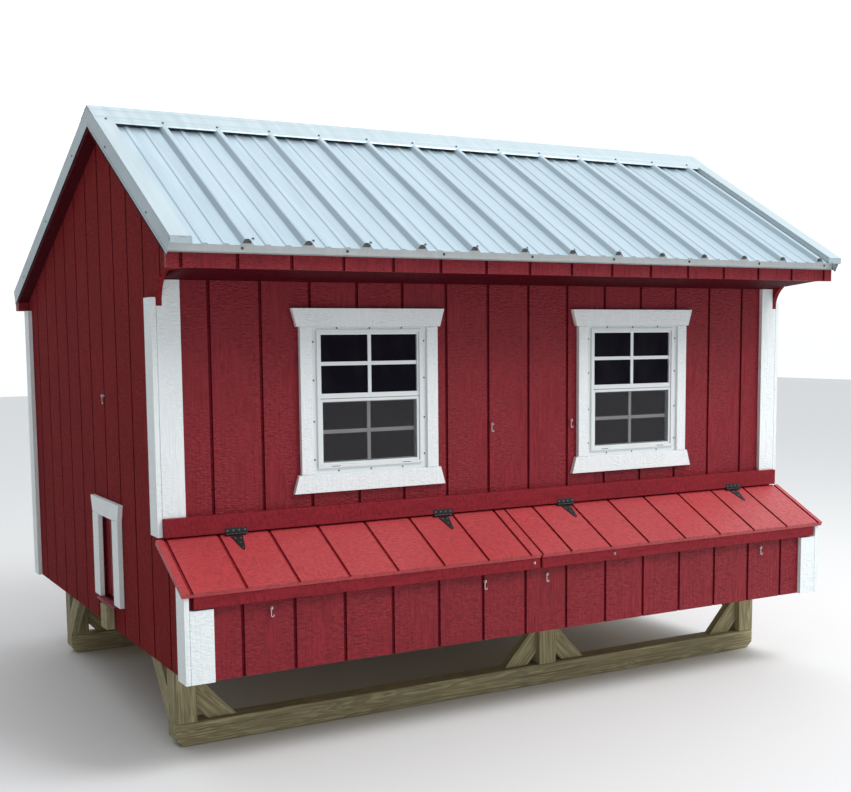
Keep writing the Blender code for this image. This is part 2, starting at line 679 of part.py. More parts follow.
def rakes():
    """Metal faces, metal flanges and boards along the sloping edges of the roof."""
    top = GAP + ROOF_SHEET + RIB_HEIGHT + THIN_SHEET
    board_y = (FRONT_FASCIA + TRIM + GAP, BACK)
    for side, gable, out in SIDES:
        edge = gable + out * GABLE_OVERHANG
        line = layer(top, FRONT_EAVE, BACK_EAVE)
        face_x = (edge + out * GAP, edge + out * (GAP + THIN_SHEET))
        outline = line + [
            square_end(line[2], RAKE_TRIM_DROP, -BACK_RISE),
            (line[1][0], line[1][1] - RAKE_TRIM_DROP),
            square_end(line[0], RAKE_TRIM_DROP, FRONT_RISE),
        ]
        prism(f"rake_trim_{side}", "x", outline, face_x, "roof_metal")
        outline = line + layer(top - THIN_SHEET, FRONT_EAVE, BACK_EAVE)[::-1]
        flange_x = (edge - out * RAKE_FLANGE, edge)
        prism(f"rake_flange_{side}", "x", outline, flange_x, "roof_metal")
        line = layer(-ROOF_BOARD - GAP, *board_y)
        outline = line + [(y, z - RAKE_BOARD) for y, z in reversed(line)]
        prism(f"rake_board_{side}", "x", outline, (edge, gable + out * GAP))


def eaves():
    """The front fascia with its sloping soffit, and the boxed-in back fascia."""
    x = (ROOF_LEFT, ROOF_RIGHT)
    low = BASE + FRONT_FASCIA_BOTTOM
    top = roof_z(FRONT_FASCIA, -ROOF_BOARD - GAP)
    box("fascia_front", x, (FRONT_FASCIA, FRONT_FASCIA + TRIM), (low, top))
    start = FRONT_FASCIA + TRIM + GAP
    wall_z = BASE + SOFFIT_AT_WALL
    outline = [
        (start, low),
        (FRONT - GAP, wall_z),
        (FRONT - GAP, wall_z + SOFFIT),
        (start, low + SOFFIT),
    ]
    inset = BRACKET_THICK + GAP
    prism("soffit_front", "x", outline, (LEFT + inset, RIGHT - inset))
    low = BASE + BACK_FASCIA_BOTTOM
    outline = [
        (BACK + GAP, low),
        (BACK_FASCIA, low),
        (BACK_FASCIA, roof_z(BACK_FASCIA, -ROOF_BOARD - GAP)),
        (BACK + GAP, roof_z(BACK + GAP, -ROOF_BOARD - GAP)),
    ]
    prism("fascia_back", "x", outline, x)


def main():
    for thing in list(bpy.data.objects):
        bpy.data.objects.remove(thing)
    base()
    floor()
    left_gable()
    right_gable()
    long_walls()
    corner_trim()
    nest_lids()
    windows()
    hen_door()
    roof()
    rakes()
    eaves()


main()
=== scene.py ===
"""Looks for a raised chicken coop: grooved siding, ribbed roof, windows, nest lids, hinges and lumber."""
import json
import math

import bmesh
import bpy
from mathutils import Matrix, Vector


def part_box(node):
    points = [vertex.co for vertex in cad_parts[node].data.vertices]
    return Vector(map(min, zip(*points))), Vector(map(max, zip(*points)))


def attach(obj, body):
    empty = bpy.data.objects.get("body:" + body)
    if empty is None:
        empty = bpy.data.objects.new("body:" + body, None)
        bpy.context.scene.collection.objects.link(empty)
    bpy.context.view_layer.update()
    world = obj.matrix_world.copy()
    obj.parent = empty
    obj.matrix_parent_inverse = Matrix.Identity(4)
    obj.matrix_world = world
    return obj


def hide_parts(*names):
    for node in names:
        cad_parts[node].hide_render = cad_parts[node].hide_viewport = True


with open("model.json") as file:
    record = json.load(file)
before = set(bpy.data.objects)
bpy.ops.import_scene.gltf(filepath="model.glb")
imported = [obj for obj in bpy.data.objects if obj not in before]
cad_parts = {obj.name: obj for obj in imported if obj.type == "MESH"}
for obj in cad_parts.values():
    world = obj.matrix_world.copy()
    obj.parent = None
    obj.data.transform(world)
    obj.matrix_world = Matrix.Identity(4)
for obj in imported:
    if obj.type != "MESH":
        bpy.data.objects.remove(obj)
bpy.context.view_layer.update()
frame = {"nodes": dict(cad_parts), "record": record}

IN = 0.0254
SHARP = math.radians(25)

# Places read from the frame
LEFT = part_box("left_gable_back")[0].x
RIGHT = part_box("right_gable_wall")[1].x
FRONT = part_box("front_wall")[0].y
NEST_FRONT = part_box("nest_front_wall")[0].y
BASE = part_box("back_wall")[0].z
ROOF_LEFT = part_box("roof_boards_front")[0].x
ROOF_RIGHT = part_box("roof_boards_front")[1].x
SIDES = (("left", -1), ("right", 1))
UP = Vector((0, 0, 1))

# Siding, and the seams where boards meet
GROOVE_PITCH = 8 * IN
GROOVE_WIDE = 0.52 * IN
GROOVE_NARROW = 0.4 * IN
GROOVE_DEPTH = 0.24 * IN
LID_FIRST_GROOVE = {"left": 0.2 * IN, "right": 0.07 * IN}
SEAM_WIDE = 0.0022
SEAM_NARROW = 0.0014
SEAM_DEPTH = 0.004
SEAM_OVERRUN = 0.01
SOFT_EDGE = 0.0012

# Screws and nails, each as a radius and how far its head stands up
ROOF_SCREW = (0.0048, 0.0042)
TRIM_SCREW = (0.004, 0.003)
SMALL_SCREW = (0.0034, 0.0018)
NAIL = (0.003, 0.0008)

# Hinges
KNUCKLES = 5
KNUCKLE_RADIUS = 0.17 * IN
KNUCKLE_GAP = 0.0012
LEAF_THICK = 0.0028
IRON_EDGE = 0.0006
LEAF_SCREWS = (0.1, 0.37, 0.63, 0.9)
STRAP_SCREWS = ((0.84, -0.42 * IN), (0.84, 0.42 * IN), (0.52, 0), (0.16, 0))
STRAP_SCREW_LIFT = 0.0008

# Hooks of bent wire, with places along the coop from its left end
WIRE = 0.0017
EYE = 0.2 * IN
SHANK_IN = 0.004
SHANK_OUT = 0.006
HOOK_LENGTH = 1.15 * IN
HOOK_STRAIGHT = 0.3 * IN
WALL_HOOKS = (56.5 * IN, 72.7 * IN)
WALL_HOOK_HEIGHT = 33.3 * IN
NEST_HOOKS = (12.24 * IN, 48.16 * IN, 59.96 * IN, 106.8 * IN)
NEST_HOOK_HEIGHT = 9.5 * IN
LID_EYES = {"left": 56.85 * IN, "right": 72.9 * IN}
CORD_HOOK_DEPTH = 28.6 * IN
CORD_HOOK_HEIGHT = 38.6 * IN

# Windows
FLANGE = 0.85 * IN
TOP_FLANGE = 0.4 * IN
RIM = 0.5 * IN
SASH = 0.55 * IN
MEETING_RAIL = 11.5 * IN
HALF_BAR = 0.3 * IN
PANE = 0.003
PANE_GAP = 0.0005
SLOT_PLACE = 0.62
HALF_SLOT = 0.75 * IN
SLOT_HEIGHT = 0.002

# Fronts and backs of the windows' pieces, from the front wall's face inward
FLANGE_DEPTHS = (-0.3 * IN, -0.22 * IN)
RIM_DEPTHS = (-0.62 * IN, 1 * IN)
SLOT_DEPTHS = (-0.64 * IN, -0.6 * IN)
UPPER_SASH = (-0.38 * IN, 0.5 * IN)
UPPER_BARS = (-0.2 * IN, -0.02 * IN)
LOWER_SASH = (-0.18 * IN, 0.8 * IN)
LOWER_BARS = (0.3 * IN, 0.42 * IN)
SCREEN_FRAME = (-0.42 * IN, -0.22 * IN)
SCREEN = (-0.008, -0.0076)

# Hen door
DOOR_GROOVES = (-2 * IN, 2.4 * IN)
DOOR_HALF_OPENING = 4.25 * IN
BLOCK_NAILS = ((0.25, 0.3), (0.7, 0.35), (0.35, 0.75), (0.8, 0.8))

# Roof sheets
RIB_PITCH = 9 * IN
FIRST_RIB = -0.3 * IN
RIB_BASE = 2.1 * IN
RIB_TOP = 0.7 * IN
RIB_HEIGHT = 0.75 * IN
BEAD_BASE = 1.1 * IN
BEAD_TOP = 0.55 * IN
BEAD_HEIGHT = 0.15 * IN
SHEET_THICK = 0.0009
SHEET_LIFT = 0.15 * IN
SHEET_INSET = 0.003
SHEET_UNDER_CAP = 0.9 * IN
EAVE_SCREWS = 1.8 * IN
SCREW_FROM_RIB = RIB_BASE * 0.72
SCREW_MARGIN = 0.02
STOP_FRONT = 0.5 * IN
STOP_BACK = 0.7 * IN
STOP_STEPS = ((0.36, 0.0, 0.5), (0.24, 0.5, 0.8))

# Bent metal at the edges of the roof
METAL = 0.0012
DRIP_KICK = 0.24 * IN
DRIP_BEND = 0.2 * IN
DRIP_SCREW_PITCH = 15.9 * IN
FIRST_DRIP_SCREW = 8.7 * IN
DRIP_SCREW_HEIGHT = 0.75 * IN
DRIP_SCREW_LIFT = 0.001
CAP_THICK = 0.0013
CAP_SCREWS = 4.4 * IN
CAP_SCREW_DROP = 0.12 * IN
CAP_STEPS = ((0, 0), (0.9, 0), (1.1, 0.09), (1.35, 0.09), (1.55, 0))
CAP_STEPS += ((3.7, 0), (3.9, -0.12), (4.85, -0.12), (5.05, -0.22), (5.1, -0.42))
RAKE_BEND = 0.002
RAKE_DROP = 3.1 * IN
RAKE_HEM = 0.0015
RAKE_SCREW_DROP = RAKE_DROP * 0.62
HEM = 0.35 * IN
FLANGE_LIP = 0.3 * IN
FLANGE_END = 0.1 * IN
FLANGE_OVER_SHEET = RIB_HEIGHT * 0.2
RAKE_SCREW_PITCH = 22 * IN

# Base
POST = 3.5 * IN
BRACE_THICK = 1.5 * IN
BRACE_SLOPE = math.radians(47)
BRACE_FOOT = 1.9 * IN
BRACE_BELOW = 0.3
BRACE_ABOVE = 0.6
BRACE_WAYS = {"left": (1,), "middle": (-1, 1), "right": (-1,)}

# Studio and camera
FLOOR_SIZE = 60
FLOOR_GREY = 0.74
LAMP_PLACE = (3.5, -5.0, 7.5)
LAMP_AIM = (0, -0.5, 1)
LAMP_SIZE = 4.0
LAMP_POWER = 480
SKY_COLOUR = (0.95, 0.98, 1.0, 1)
OVERHEAD_SKY = (0.0, 1.0, 0.45, 1.35)
BACKDROP_SKY = (0.25, 0.6, 0.0, 0.6)
SKY_FROM_RIGHT = (-0.75, 0.1, 0.25, 1.0)
CAMERA_PLACE = (-2.8543, -5.3039, 1.5495)
CAMERA_TURN = (84.135, 0.473, -29.516)
CAMERA_LENS = 51.751
CAMERA_SHIFT = (-0.0045, 0.0784)


# Materials


class Nodes:
    """One material's node tree, whose inputs are values or other nodes' outputs."""

    def __init__(self, name):
        self.material = bpy.data.materials.new(name)
        self.material.use_nodes = True
        self.tree = self.material.node_tree
        self.shader = self.tree.nodes["Principled BSDF"]
        self.place = self.add("TexCoord", {}, "Object")

    def put(self, socket, value):
        if isinstance(value, bpy.types.NodeSocket):
            self.tree.links.new(value, socket)
        else:
            socket.default_value = value

    def add(self, kind, inputs, output=0, **settings):
        node = self.tree.nodes.new(f"ShaderNode{kind}")
        for key, value in settings.items():
            setattr(node, key, value)
        for key, value in inputs.items():
            self.put(node.inputs[key], value)
        return node.outputs[output]

    def stretched(self, scale):
        return self.add("VectorMath", {0: self.place, 1: scale}, operation="MULTIPLY")

    def noise(self, scale, detail=3.0, distortion=0.0, roughness=0.55):
        inputs = {
            "Vector": self.stretched(scale),
            "Scale": 1.0,
            "Detail": detail,
            "Roughness": roughness,
            "Distortion": distortion,
        }
        return self.add("TexNoise", inputs)

    def remap(self, value, low, high, to_low=0.0, to_high=1.0):
        inputs = {
            "Value": value,
            "From Min": low,
            "From Max": high,
            "To Min": to_low,
            "To Max": to_high,
        }
        return self.add("MapRange", inputs)

    def math(self, operation, first, second):
        return self.add("Math", {0: first, 1: second}, operation=operation)

    def blend(self, factor, first, second):
        """Mix two colours, each three numbers or an output."""
        sides = [(*side, 1.0) if isinstance(side, tuple) else side for side in (first, second)]
        inputs = {"Factor": factor, 6: sides[0], 7: sides[1]}
        return self.add("Mix", inputs, 2, data_type="RGBA")

    def bump(self, height, distance, strength=1.0, under=None):
        inputs = {"Height": height, "Distance": distance, "Strength": strength}
        if under is not None:
            inputs["Normal"] = under
        return self.add("Bump", inputs)

    def finish(self, **inputs):
        for key, value in inputs.items():
            self.put(self.shader.inputs[key.replace("_", " ").title().replace("Ior", "IOR")], value)
        return self.material


def axis_scale(axis, along, across):
    """A scale for noise that is one value along an axis and another across it."""
    scale = [across] * 3
    scale[axis] = along
    return tuple(scale)


def painted_wood(name, colour, shade, axis, roughness, depth, gloss=0.12):
    """Paint over siding that is pressed with sawn grain, running along an axis. Its colour varies in tone at
    random, and is lighter on the grain's raised parts and darker in its hollows: painted highlight and painted
    shade.
    """
    tree = Nodes(name)
    grain = tree.noise(axis_scale(axis, 10, 75), 3, 0.8)
    ripple = tree.noise(axis_scale(axis, 140, 52), 2, 0.5)
    where = tree.remap(tree.noise(axis_scale(axis, 3.5, 9), 2, 0.6), 0.32, 0.56)
    pressed = tree.add("Mix", {"Factor": where, "A": grain, "B": ripple})
    waves = tree.noise(axis_scale(axis, 2.2, 34), 2, 2.2)
    tone = tree.remap(tree.noise((1.7, 1.7, 1.7), 4), 0.25, 0.6, 0.55, 1.0)
    # Random tone, times painted highlight on the pressed grain's raised parts and painted shade in its hollows
    tone_and_relief_shading = tree.math("MULTIPLY", tone, tree.remap(pressed, 0.3, 0.62))
    bumps = tree.bump(waves, depth * 2, 0.3)
    return tree.finish(
        base_color=tree.blend(tone_and_relief_shading, shade, colour),
        roughness=tree.remap(pressed, 0.3, 0.7, roughness + 0.12, roughness - 0.06),
        specular_ior_level=gloss,
        normal=tree.bump(pressed, depth, 1.0, bumps),
    )


def lumber(name, axis, pale, dark, weathered):
    """Rough-sawn wood with streaks, growth bands, checks and knots, running along an axis."""
    tree = Nodes(name)
    streaks = tree.noise(axis_scale(axis, 3.5, 150), 5, 0.8)
    bands = tree.noise(axis_scale(axis, 1.3, 24), 2, 2.5)
    rings = tree.add("Math", {0: tree.math("MULTIPLY", bands, 34.0)}, operation="SINE")
    growth = tree.remap(rings, -0.6, 0.8, 0.35, 1.0)
    grain = tree.math("MULTIPLY", growth, tree.remap(streaks, 0.35, 0.62, 0.3, 1.1))
    knots = tree.add(
        "TexVoronoi",
        {"Vector": tree.stretched(axis_scale(axis, 2.1, 5.5)), "Scale": 1.0, "Randomness": 1.0},
        "Distance",
    )
    knot = tree.remap(knots, 0.055, 0.1, 1.0, 0.0)
    checks = tree.remap(tree.noise(axis_scale(axis, 1.6, 120), 3, 0.2), 0.66, 0.7)
    patches = tree.remap(tree.noise((5, 5, 5), 3), 0.35, 0.7)
    colour = tree.blend(grain, dark, pale)
    colour = tree.blend(tree.math("MULTIPLY", patches, 0.5), colour, weathered)
    colour = tree.blend(tree.math("MULTIPLY", knot, 0.85), colour, tuple(value * 0.3 for value in dark))
    colour = tree.blend(tree.math("MULTIPLY", checks, 0.7), colour, tuple(value * 0.35 for value in dark))
    height = tree.math("SUBTRACT", streaks, tree.math("MULTIPLY", checks, 0.5))
    return tree.finish(base_color=colour, roughness=0.86, normal=tree.bump(height, 0.0012, 0.8))


def sheet_metal(name, colour, soiled, roughness):
    """Painted steel with faint stains that run down the slope and a slight waviness."""
    tree = Nodes(name)
    stains = tree.remap(tree.noise((26, 1.6, 3), 4, 0.4), 0.35, 0.75)
    speckle = tree.noise((900, 900, 900), 2)
    waviness = tree.noise((7, 1.2, 1.2), 1)
    skin = tree.bump(speckle, 0.00012, 0.3)
    return tree.finish(
        base_color=tree.blend(tree.math("MULTIPLY", stains, 0.5), colour, soiled),
        roughness=tree.remap(stains, 0, 1, roughness, roughness + 0.14),
        metallic=0.55,
        normal=tree.bump(waviness, 0.003, 0.5, skin),
    )


def plain(name, colour, roughness, metallic=0.0, mottle=0.08, grain=0.0002):
    """A fine-grained solid such as moulded plastic, enamel or coated iron."""
    tree = Nodes(name)
    fine = tree.noise((420, 420, 420), 3)
    tone = tree.remap(tree.noise((24, 24, 24), 3), 0.3, 0.7, 0, mottle * 4)
    darker = tuple(value * 0.72 for value in colour)
    return tree.finish(
        base_color=tree.blend(tone, colour, darker),
        roughness=tree.remap(fine, 0.3, 0.7, roughness - 0.05, roughness + 0.08),
        metallic=metallic,
        normal=tree.bump(fine, grain, 0.4),
    )


def pane():
    """Glass whose near-black colour is painted shade of the dark room behind it, with a faint film of dust."""
    tree = Nodes("window_glass_look")
    dust = tree.remap(tree.noise((9, 9, 5), 4), 0.45, 0.8)
    return tree.finish(
        base_color=tree.blend(tree.math("MULTIPLY", dust, 0.3), (0.006, 0.005, 0.009), (0.03, 0.03, 0.035)),
        roughness=tree.remap(dust, 0, 1, 0.04, 0.12),
        ior=1.12,
    )


def insect_screen():
    """Fine dark mesh that lets half of what is behind it through."""
    tree = Nodes("insect_screen_look")
    weave = tree.noise((500, 500, 500), 1)
    return tree.finish(
        base_color=tree.blend(weave, (0.035, 0.035, 0.037), (0.07, 0.07, 0.073)),
        roughness=0.8,
        alpha=0.3,
    )


RED = (0.28, 0.0185, 0.029)
RED_SHADE = (0.16, 0.0095, 0.016)
# The gables get their own copy of the wall red, a little less red and greyer: painted shade of the side walls
SIDE_WALL_RED_PAINTED_SHADE = (0.25, 0.024, 0.027)
SIDE_WALL_DARK_RED_PAINTED_SHADE = (0.16, 0.015, 0.017)
# The lids' red is lighter than the walls': painted light, for the sky light and sheen on the lids' upward faces
LID_RED_PAINTED_LIGHT = (0.52, 0.056, 0.064)
LID_DARK_RED_PAINTED_LIGHT = (0.34, 0.03, 0.036)
# A very dark red that is painted shade: for the soffit and rake boards, and the darkest hollows of the grooves
PAINTED_SHADOW_RED = (0.075, 0.004, 0.009)
PAINTED_SHADOW_DARKER_RED = (0.045, 0.003, 0.006)
WHITE = (0.89, 0.94, 0.95)
WHITE_SHADE = (0.79, 0.85, 0.86)
PINE = (0.53, 0.47, 0.27)
PINE_DARK = (0.19, 0.15, 0.075)
PINE_GREY = (0.24, 0.24, 0.15)
BOARD = (0.5, 0.36, 0.19)
BOARD_DARK = (0.32, 0.2, 0.09)
BOARD_GREY = (0.42, 0.33, 0.2)

LOOKS = {
    "red_up": painted_wood("red_siding_upright", RED, RED_SHADE, 2, 0.42, 0.0055, 0.22),
    "red_gable": painted_wood("red_siding_painted_shade_on_gable", SIDE_WALL_RED_PAINTED_SHADE, SIDE_WALL_DARK_RED_PAINTED_SHADE, 2, 0.7, 0.005, 0.02),
    "red_lid": painted_wood("red_siding_painted_light_on_lid", LID_RED_PAINTED_LIGHT, LID_DARK_RED_PAINTED_LIGHT, 1, 0.4, 0.0022, 0.5),
    "red_board": painted_wood("red_board_lengthwise", RED, RED_SHADE, 0, 0.45, 0.0015),
    # The grooves are darker than the face round them: partly dirt, partly painted shade
    "red_groove": painted_wood("red_grooves_dirt_and_painted_shade", RED_SHADE, PAINTED_SHADOW_RED, 2, 0.6, 0.001, 0.05),
    # The lids' grooves are darker than the lid, partly dirt and partly painted shade, on the lids' painted
    # light
    "red_lid_groove": painted_wood(
        "red_lid_grooves_dirt_and_painted_light_and_shade", LID_DARK_RED_PAINTED_LIGHT, RED_SHADE, 1, 0.6, 0.001, 0.05
    ),
    "red_soffit": painted_wood("red_board_painted_shade", PAINTED_SHADOW_RED, PAINTED_SHADOW_DARKER_RED, 0, 0.6, 0.001, 0.05),
    "white_up": painted_wood("white_board_upright", WHITE, WHITE_SHADE, 2, 0.5, 0.0035, 0.3),
    "lumber_x": lumber("treated_lumber_lengthwise", 0, PINE, PINE_DARK, PINE_GREY),
    "lumber_z": lumber("treated_lumber_upright", 2, PINE, PINE_DARK, PINE_GREY),
    "board_x": lumber("bare_board_lengthwise", 0, BOARD, BOARD_DARK, BOARD_GREY),
    "board_z": lumber("bare_board_upright", 2, BOARD, BOARD_DARK, BOARD_GREY),
    "roof": sheet_metal("ribbed_roof_sheet", (0.42, 0.53, 0.6), (0.35, 0.45, 0.51), 0.34),
    "drip_metal": sheet_metal("eave_drip_metal", (0.82, 0.84, 0.83), (0.7, 0.73, 0.72), 0.5),
    "trim_metal": sheet_metal("bent_metal_trim", (0.48, 0.57, 0.61), (0.4, 0.48, 0.52), 0.4),
    "iron": plain("black_hinge_iron", (0.007, 0.008, 0.01), 0.5, 0.1),
    "zinc": plain("zinc_plated_steel", (0.66, 0.67, 0.66), 0.32, 0.75),
    # Dark grey for weathered screw heads, also used as painted shade in the ribs' ends
    "dull_zinc": plain("painted_rib_shade_and_dark_screw_heads", (0.16, 0.165, 0.17), 0.45, 0.4),
    "enamel": plain("window_enamel", (0.78, 0.83, 0.84), 0.35, 0.0, 0.03, 0.0001),
    "bar_grey": plain("bar_between_panes", (0.82, 0.83, 0.83), 0.5, 0.0, 0.03, 0.0001),
    # Near-black for the painted shade in the weep slots, and for the dark nail heads
    "gap": plain("painted_slot_shade_and_nail_heads", (0.02, 0.021, 0.024), 0.8),
    "glass": pane(),
    "screen": insect_screen(),
}


# Mesh helpers


def body_of(node):
    """Name of the body that holds a CAD node."""
    bodies = frame["record"]["behaviour"]["bodies"]
    return next(body for body, members in bodies.items() if node in members)


def soften(bm, width, segments=2):
    """Round every sharp edge a little."""
    edges = [edge for edge in bm.edges if edge.is_manifold and edge.calc_face_angle(0) > SHARP]
    bmesh.ops.bevel(
        bm, geom=edges, offset=width, segments=segments, profile=0.5, affect="EDGES", clamp_overlap=True
    )


def publish(name, bm, look, node=None, body="coop", smooth=False, matrix=None):
    """Turn a bmesh into a piece that rides on a body; one that stands for a CAD node rides on that node's."""
    bmesh.ops.recalc_face_normals(bm, faces=bm.faces)
    mesh = bpy.data.meshes.new(name)
    bm.to_mesh(mesh)
    bm.free()
    if smooth:
        mesh.shade_smooth()
        mesh.set_sharp_from_angle(angle=SHARP)
    looks = (look,) if isinstance(look, str) else look
    for each in looks:
        mesh.materials.append(LOOKS[each])
    thing = bpy.data.objects.new(name, mesh)
    if matrix is not None:
        thing.matrix_world = matrix
    bpy.context.scene.collection.objects.link(thing)
    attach(thing, body_of(node) if node else body)
    if node:
        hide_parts(node)


def repaint(node, look):
    """Give a CAD node that keeps its shape a finished material."""
    mesh = frame["nodes"][node].data
    mesh.materials.clear()
    mesh.materials.append(LOOKS[look])


def add_box(bm, low, high):
    """Add a box between two corners."""
    size = [b - a for a, b in zip(low, high)]
    middle = [(a + b) / 2 for a, b in zip(low, high)]
    matrix = Matrix.Translation(middle) @ Matrix.Diagonal((*size, 1))
    bmesh.ops.create_cube(bm, size=1, matrix=matrix)


def add_round(bm, sides, foot_radius, top_radius, length, matrix):
    """Add a cylinder or a cone's lower part, centred on a matrix."""
    bmesh.ops.create_cone(
        bm,
        cap_ends=True,
        segments=sides,
        radius1=foot_radius,
        radius2=top_radius,
        depth=length,
        matrix=matrix,
    )


def add_plate(bm, rows, shift):
    """Add a plate between rows of points, made thick by a shift."""
    made = []
    for row in rows:
        outer = [bm.verts.new(point) for point in row]
        inner = [bm.verts.new(Vector(point) + Vector(shift)) for point in row]
        made.append((outer, inner))
    last = len(rows[0]) - 1
    for near, far in zip(made, made[1:]):
        for layer in (0, 1):
            for n in range(last):
                bm.faces.new([near[layer][n], near[layer][n + 1], far[layer][n + 1], far[layer][n]])
        for n in (0, last):
            bm.faces.new([near[0][n], far[0][n], far[1][n], near[1][n]])
    for outer, inner in (made[0], made[-1]):
        for n in range(last):
            bm.faces.new([outer[n], outer[n + 1], inner[n + 1], inner[n]])


def copied(node):
    """A bmesh of a CAD node with its flat faces joined up."""
    bm = bmesh.new()
    bm.from_mesh(frame["nodes"][node].data)
    bmesh.ops.remove_doubles(bm, verts=bm.verts, dist=0.00001)
    bmesh.ops.dissolve_limit(bm, angle_limit=0.002, verts=bm.verts, edges=bm.edges)
    return bm


def carved(bm, cutter):
    """A bmesh with another one cut out of it."""
    things = []
    for each in (bm, cutter):
        bmesh.ops.recalc_face_normals(each, faces=each.faces)
        mesh = bpy.data.meshes.new("carving")
        each.to_mesh(mesh)
        each.free()
        things.append(bpy.data.objects.new("carving", mesh))
        bpy.context.scene.collection.objects.link(things[-1])
    modifier = things[0].modifiers.new("cut", "BOOLEAN")
    modifier.object = things[1]
    modifier.solver = "EXACT"
    evaluated = things[0].evaluated_get(bpy.context.evaluated_depsgraph_get())
    made = bpy.data.meshes.new_from_object(evaluated)
    result = bmesh.new()
    result.from_mesh(made)
    bmesh.ops.dissolve_limit(result, angle_limit=0.002, verts=result.verts, edges=result.edges)
    for thing in things:
        bpy.data.objects.remove(thing)
    return result


def add_groove(bm, start, end, normal, wide=GROOVE_WIDE, narrow=GROOVE_NARROW, depth=GROOVE_DEPTH):
    """Add a cutter for a groove between two points on a face, narrower at its bottom."""
    start, end, normal = Vector(start), Vector(end), Vector(normal).normalized()
    side = (end - start).cross(normal).normalized()
    taper = (wide - narrow) / depth
    above = depth / 2
    section = [
        (-(wide + taper * above) / 2, above),
        ((wide + taper * above) / 2, above),
        (narrow / 2, -depth),
        (-narrow / 2, -depth),
    ]
    rings = []
    for point in (start, end):
        rings.append([bm.verts.new(point + side * across + normal * up) for across, up in section])
    bm.faces.new(rings[0])
    bm.faces.new(rings[1])
    for n in range(4):
        bm.faces.new([rings[0][n], rings[0][n - 1], rings[1][n - 1], rings[1][n]])


def mark_grooves(bm, normal, run, level, look_index):
    """Give another material to the grooves along a flat face, which lies at a level along its normal; that
    material is darker, partly dirt and partly painted shade.
    """
    slack = 0.0005
    for each in bm.faces:
        below = level - each.calc_center_median().dot(normal)
        if slack < below < GROOVE_DEPTH + slack and abs(each.normal.dot(run)) < 0.5:
            each.material_index = look_index


def outer_level(node, normal):
    """How far a CAD node reaches along a normal that is one of the world's axes."""
    return max(corner.dot(normal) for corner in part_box(node))


def grooved(node, normal, places):
    """A CAD node with upright grooves cut in its outer face, at places along it."""
    low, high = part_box(node)
    level = outer_level(node, normal)
    cutter = bmesh.new()
    for place in places:
        ends = []
        for z in (low.z - GROOVE_WIDE, high.z + GROOVE_WIDE):
            along = Vector((place, 0, z)) if normal.y else Vector((0, place, z))
            ends.append(along + normal * level)
        add_groove(cutter, *ends, normal)
    return carved(copied(node), cutter)


def repeats(first, pitch, low, high):
    """Places at a pitch from the first one that fall between two limits."""
    start = math.ceil((low - first) / pitch)
    end = math.floor((high - first) / pitch)
    return [first + pitch * n for n in range(start, end + 1)]


def bars(name, boxes, look, node=None, edge=SOFT_EDGE):
    """A piece made of boxes with softened edges."""
    bm = bmesh.new()
    for low, high in boxes:
        add_box(bm, low, high)
    soften(bm, edge)
    publish(name, bm, look, node)


def dressed(node, look, edge=SOFT_EDGE, seams=()):
    """A CAD node's shape with softened edges, and seams cut as (start, end, normal)."""
    bm = copied(node)
    if seams:
        cutter = bmesh.new()
        for seam in seams:
            add_groove(cutter, *seam, SEAM_WIDE, SEAM_NARROW, SEAM_DEPTH)
        bm = carved(bm, cutter)
    soften(bm, edge)
    publish(f"{node}_finish", bm, look, node)


def fasteners(name, places, size=ROOF_SCREW, look="dull_zinc", body="coop"):
    """Hex heads on round washers, each at (place, normal)."""
    radius, rise = size
    washer = (12, radius * 1.25, -0.001, rise * 0.3)
    head = (6, radius * 0.8, 0, rise)
    bm = bmesh.new()
    for place, normal in places:
        turn = Vector(normal).to_track_quat("Z", "Y").to_matrix().to_4x4()
        at = Matrix.Translation(place) @ turn
        for sides, foot_radius, low, high in (washer, head):
            matrix = at @ Matrix.Translation((0, 0, (low + high) / 2))
            add_round(bm, sides, foot_radius, foot_radius * 0.9, high - low, matrix)
    publish(name, bm, look, body=body)


# Walls


def siding(node, outward, places):
    """A wall with upright grooves outside and bare sheathing inside."""
    normal = Vector(outward)
    bm = grooved(node, normal, places)
    inner = outer_level(node, -normal)
    for each in bm.faces:
        on_inside = abs(each.calc_center_median().dot(-normal) - inner) < 0.001
        if on_inside and each.normal.dot(normal) < -0.9:
            each.material_index = 1
    mark_grooves(bm, normal, UP, outer_level(node, normal), 2)
    # The side walls take the gables' copy of the red, which holds painted shade
    paint = "red_up" if normal.y else "red_gable"
    publish(f"{node}_siding", bm, (paint, "board_z", "red_groove"), node)


def walls():
    """All the grooved walls."""
    across = repeats(LEFT, GROOVE_PITCH, LEFT + GROOVE_PITCH / 2, RIGHT - GROOVE_PITCH / 2)
    for node, outward in (("front_wall", -1), ("nest_front_wall", -1), ("back_wall", 1)):
        siding(node, (0, outward, 0), across)
    for node in ("left_gable_front", "left_gable_back", "left_gable_over_door", "right_gable_wall"):
        low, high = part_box(node)
        places = repeats(NEST_FRONT, GROOVE_PITCH, low.y + GROOVE_WIDE, high.y - GROOVE_WIDE)
        outward = 1 if node.startswith("right") else -1
        siding(node, (outward, 0, 0), places)


def fascias():
    """The grooved fascias, the soffit and the boards under the rakes."""
    for node, outward in (("fascia_front", -1), ("fascia_back", 1)):
        low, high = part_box(node)
        normal = Vector((0, outward, 0))
        places = repeats(LEFT, GROOVE_PITCH, low.x + GROOVE_WIDE, high.x - GROOVE_WIDE)
        bm = grooved(node, normal, places)
        mark_grooves(bm, normal, UP, outer_level(node, normal), 1)
        publish(f"{node}_siding", bm, ("red_up", "red_groove"), node)
    # The soffit and the rake boards take the dark red of painted shade
    dressed("soffit_front", "red_soffit", 0.0004)
    for side, _ in SIDES:
        dressed(f"rake_board_{side}", "red_soffit", 0.0006)


